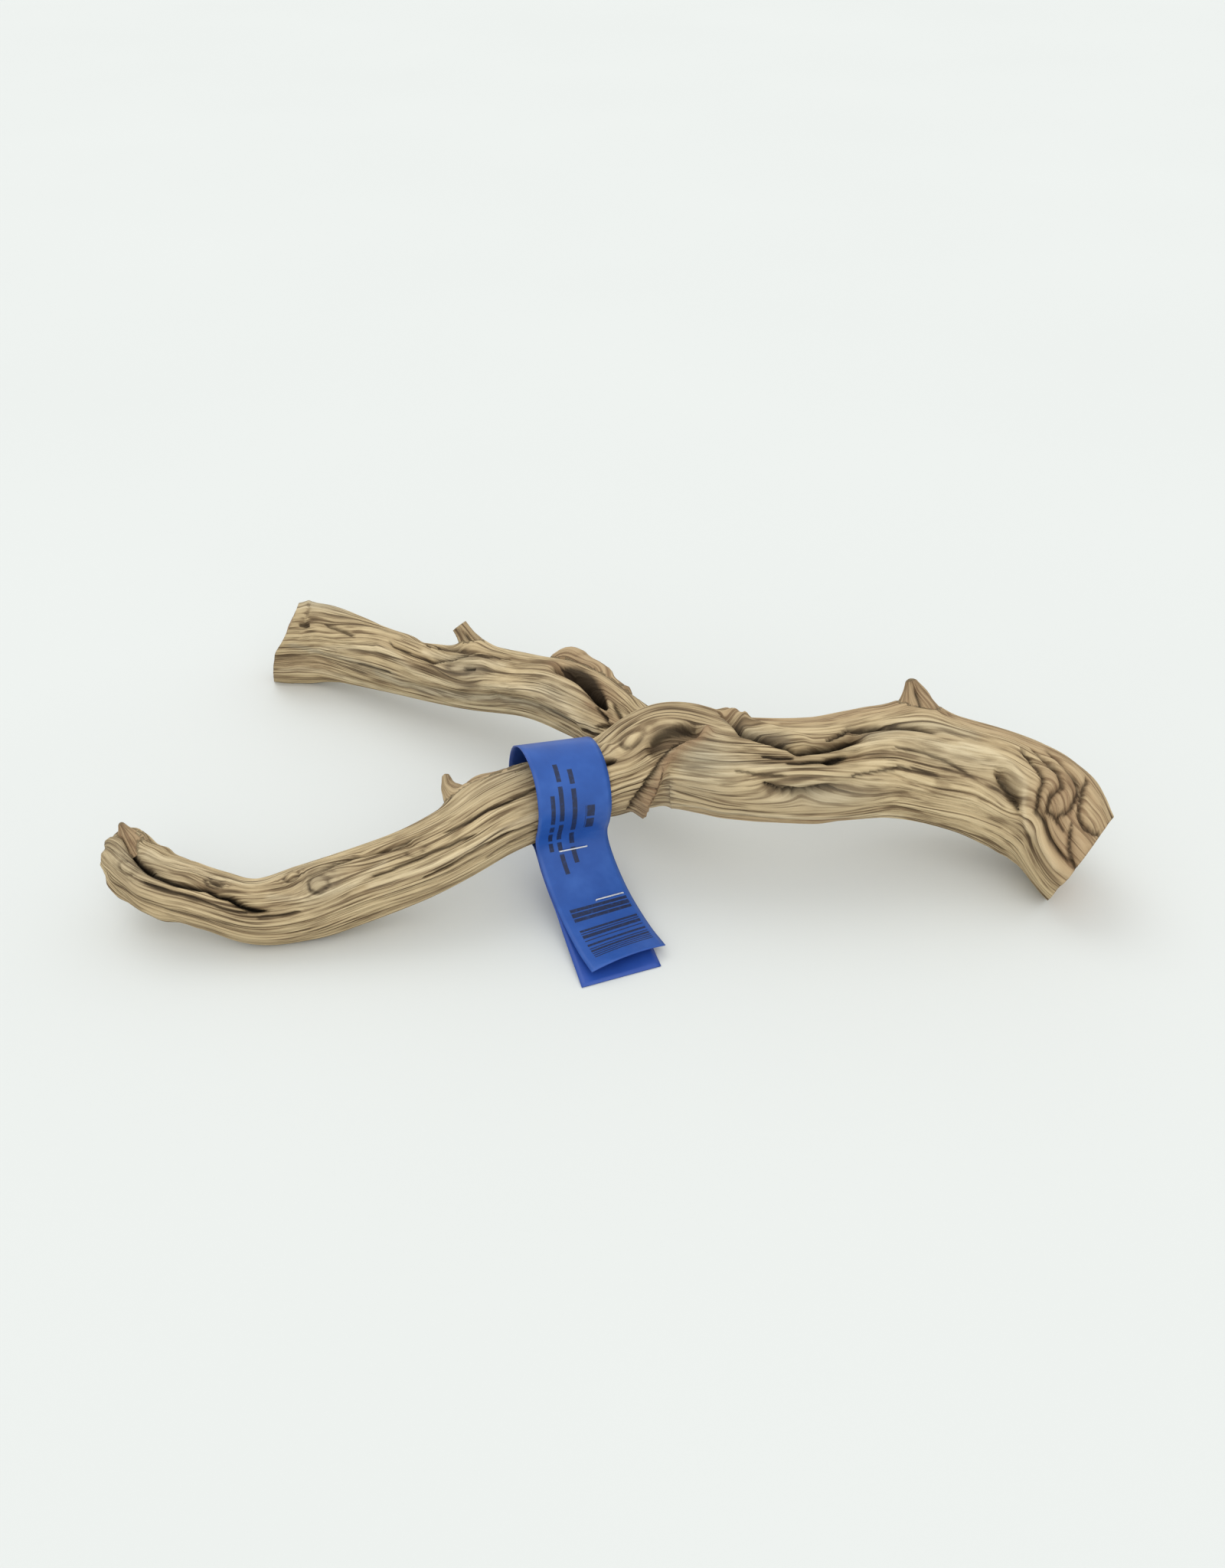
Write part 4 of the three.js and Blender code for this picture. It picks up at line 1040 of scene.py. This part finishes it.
def buildTag():
    # A strip of constant thickness on its run; its upper tail's end arches a little across the width.
    steps, columns, thickness = tag["steps"], tag["columns"], tag["thickness"]
    share = np.linspace(0, 1, steps + 1)
    centre, across, face = bandFrame(share)
    w = np.linspace(-1, 1, columns + 1)
    arch = tag["arch"] * np.maximum(0, 1 - share / tag["archShare"]) ** 2
    rise = arch[:, None] * (1 - w**2)[None]
    sheet = centre[:, None] + across[:, None] * (w * tag["width"] / 2)[None, :, None]
    outer = sheet + face[:, None] * (rise + thickness / 2)[..., None]
    inner = sheet + face[:, None] * (rise - thickness / 2)[..., None]
    loop = np.concatenate([inner, outer[:, ::-1]], 1)
    count = loop.shape[1]
    points = loop.reshape(-1, 3)
    i, j = np.meshgrid(np.arange(steps), np.arange(count), indexing="ij")
    a, b = i * count + j, i * count + (j + 1) % count
    quads = np.stack([a, b, b + count, a + count], -1).reshape(-1, 4)
    kind = np.where((j > columns) & (j < count - 1), 0, 1).ravel()
    k = np.arange(columns)
    caps = []
    for row, turned in ((0, True), (steps, False)):
        base = row * count
        cap = np.stack([base + k, base + k + 1, base + count - 2 - k, base + count - 1 - k], -1)
        caps.append(cap[:, ::-1] if turned else cap)
    quads = np.concatenate([quads, *caps])
    kind = np.concatenate([kind, np.ones(2 * columns, int)])
    p, q, r, t = (points[quads[:, n]] for n in range(4))
    volume = np.einsum("ij,ij->i", p, np.cross(q, r)).sum() + np.einsum("ij,ij->i", p, np.cross(r, t)).sum()
    if volume < 0:
        quads = quads[:, ::-1]
    made = meshObject("tag_strip", points, quads, np.zeros((0, 3), int), tagMaterials(), faceMaterials=kind)
    width = np.concatenate([(w + 1) / 2, (w[::-1] + 1) / 2])
    places = np.stack(np.broadcast_arrays(share[:, None], width[None]), -1).reshape(-1, 2)
    order = np.zeros(len(made.data.loops), np.int32)
    made.data.loops.foreach_get("vertex_index", order)
    layer = made.data.uv_layers.new(name="strip")
    layer.data.foreach_set("uv", places[order].astype(np.float32).ravel())
    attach(made, "root")
    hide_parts("tag")
    print("stage: tag made")


buildTag()

# The staples
staples = {
    "staple_upper": {"share": 0.237, "aside": -0.4, "behind": 1.6},
    "staple_lower": {"share": 0.12, "aside": 7, "behind": 1.12},
}
wire = {
    "crown": 12.7,
    "thickness": 0.55,
    "arm": 4.8,
    "gap": 0.2,
    "behindTail": 0.25,       # from the middle of the lower tail to its back
    "bend": 0.5,
    "sides": 16,
    "squareness": 0.35,       # the power of |cos| and |sin| in the section
}


def steelMaterial():
    material, tree, shader = newMaterial("brightSteel", Metallic=1.0)
    place = addNode(tree, "ShaderNodeTexCoord").outputs["Object"]
    wear = noiseAt(tree, place, (1, 1, 1), 1400, 2, 0.5)
    bright = ramp(tree, wear, [(0.3, (0.72, 0.73, 0.75)), (0.7, (0.88, 0.89, 0.9))])
    tree.links.new(bright, shader.inputs["Base Color"])
    roughness = maths(tree, "MULTIPLY_ADD", wear, 0.25)  # 0.25 wear + 0.5, the node's own third value
    tree.links.new(roughness, shader.inputs["Roughness"])
    return material


def buildStaple(name, staple, steel):
    # A rounded square wire carried round the corners of a flattened U with its arms folded in.
    half, thick = (wire["crown"] - wire["thickness"]) / 2, wire["thickness"]
    centre, across, face = (v[0] for v in bandFrame(np.array([staple["share"]])))
    run = np.cross(across, face)
    top = tag["thickness"] / 2 + wire["gap"] + thick / 2
    bottom = -(staple["behind"] + wire["behindTail"] + wire["gap"] + thick / 2)
    corners = [
        (wire["arm"] - half, bottom), (-half, bottom), (-half, top),
        (half, top), (half, bottom), (half - wire["arm"], bottom),
    ]
    path = []
    for n, corner in enumerate(corners):
        if n in (0, len(corners) - 1):
            path.append(corner)
            continue
        here = np.array(corner)
        before, after = (np.array(corners[n - 1]) - here), (np.array(corners[n + 1]) - here)
        bend = min(wire["bend"], np.linalg.norm(before) / 2.2, np.linalg.norm(after) / 2.2)
        before, after = before / np.linalg.norm(before) * bend, after / np.linalg.norm(after) * bend
        for t in np.linspace(0, 1, 6):
            path.append(tuple(here + before * (1 - t) ** 2 + after * t**2))
    path = np.array(path)
    ahead = np.gradient(path, axis=0)
    ahead /= np.linalg.norm(ahead, axis=1)[:, None]
    normal = np.stack([-ahead[:, 1], ahead[:, 0]], -1)
    angle = turn * np.arange(wire["sides"]) / wire["sides"]
    power = wire["squareness"]  # a square with rounded edges: sign(cos)|cos|^power
    x = np.sign(np.cos(angle)) * np.abs(np.cos(angle)) ** power * thick / 2
    y = np.sign(np.sin(angle)) * np.abs(np.sin(angle)) ** power * thick / 2
    flat = path[:, None] + normal[:, None] * x[None, :, None]
    points = centre + across * staple["aside"] + flat[..., :1] * across + flat[..., 1:] * face
    points = points + y[None, :, None] * run
    rings = points.shape[0]
    everything = np.vstack([points.reshape(-1, 3), points[0].mean(0), points[-1].mean(0)])
    quads, fans = tubeFaces(everything, rings, wire["sides"])
    made = meshObject(name + "_wire", everything, quads, fans, [steel])
    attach(made, "root")
    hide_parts(name)


steel = steelMaterial()
for name, staple in staples.items():
    buildStaple(name, staple, steel)
print("stage: staples made")

# Floor and light
studio = {
    "floorTone": (0.748, 0.768, 0.753),
    "floorHalf": 14,          # metres
    "skyTone": (0.985, 1.0, 0.99),
    "skyStrength": 0.88,
    # strength, angle in degrees of a wide soft source, and the way that its light travels
    "suns": {"softSun": (0.42, 40, (0.35, -0.42, -0.85)), "frontFill": (0.82, 60, (-0.1, 0.72, -0.69))},
}


def buildStudio():
    material, tree, shader = newMaterial("paleFloor", Roughness=0.9, Specular_IOR_Level=0.1)
    place = addNode(tree, "ShaderNodeTexCoord").outputs["Object"]
    shade = noiseAt(tree, place, (1, 1, 1), 3, 2, 0.5)
    low = tuple(0.985 * c for c in studio["floorTone"])
    tree.links.new(ramp(tree, shade, [(0.3, low), (0.7, studio["floorTone"])]), shader.inputs["Base Color"])
    half = studio["floorHalf"] / mm
    corners = np.array([(-half, -half, 0), (half, -half, 0), (half, half, 0), (-half, half, 0)], float)
    quads, none = np.array([[0, 1, 2, 3]]), np.zeros((0, 3), int)
    floor = meshObject("floor", corners, quads, none, [material], smoothed=False)
    for name, (strength, angle, (x, y, z)) in studio["suns"].items():
        light = bpy.data.lights.new(name, "SUN")
        light.energy = strength
        light.angle = math.radians(angle)
        sun = bpy.data.objects.new(name, light)
        sun.rotation_euler = (math.atan2(math.hypot(x, y), -z), 0, math.atan2(y, x) - math.pi / 2)
        bpy.context.scene.collection.objects.link(sun)
    world = bpy.data.worlds.new("paleRoom")
    world.use_nodes = True
    background = world.node_tree.nodes["Background"]
    background.inputs["Color"].default_value = (*studio["skyTone"], 1)
    background.inputs["Strength"].default_value = studio["skyStrength"]
    bpy.context.scene.world = world
    bpy.context.scene.view_settings.view_transform = "Standard"


buildStudio()
print("stage: floor and light made")
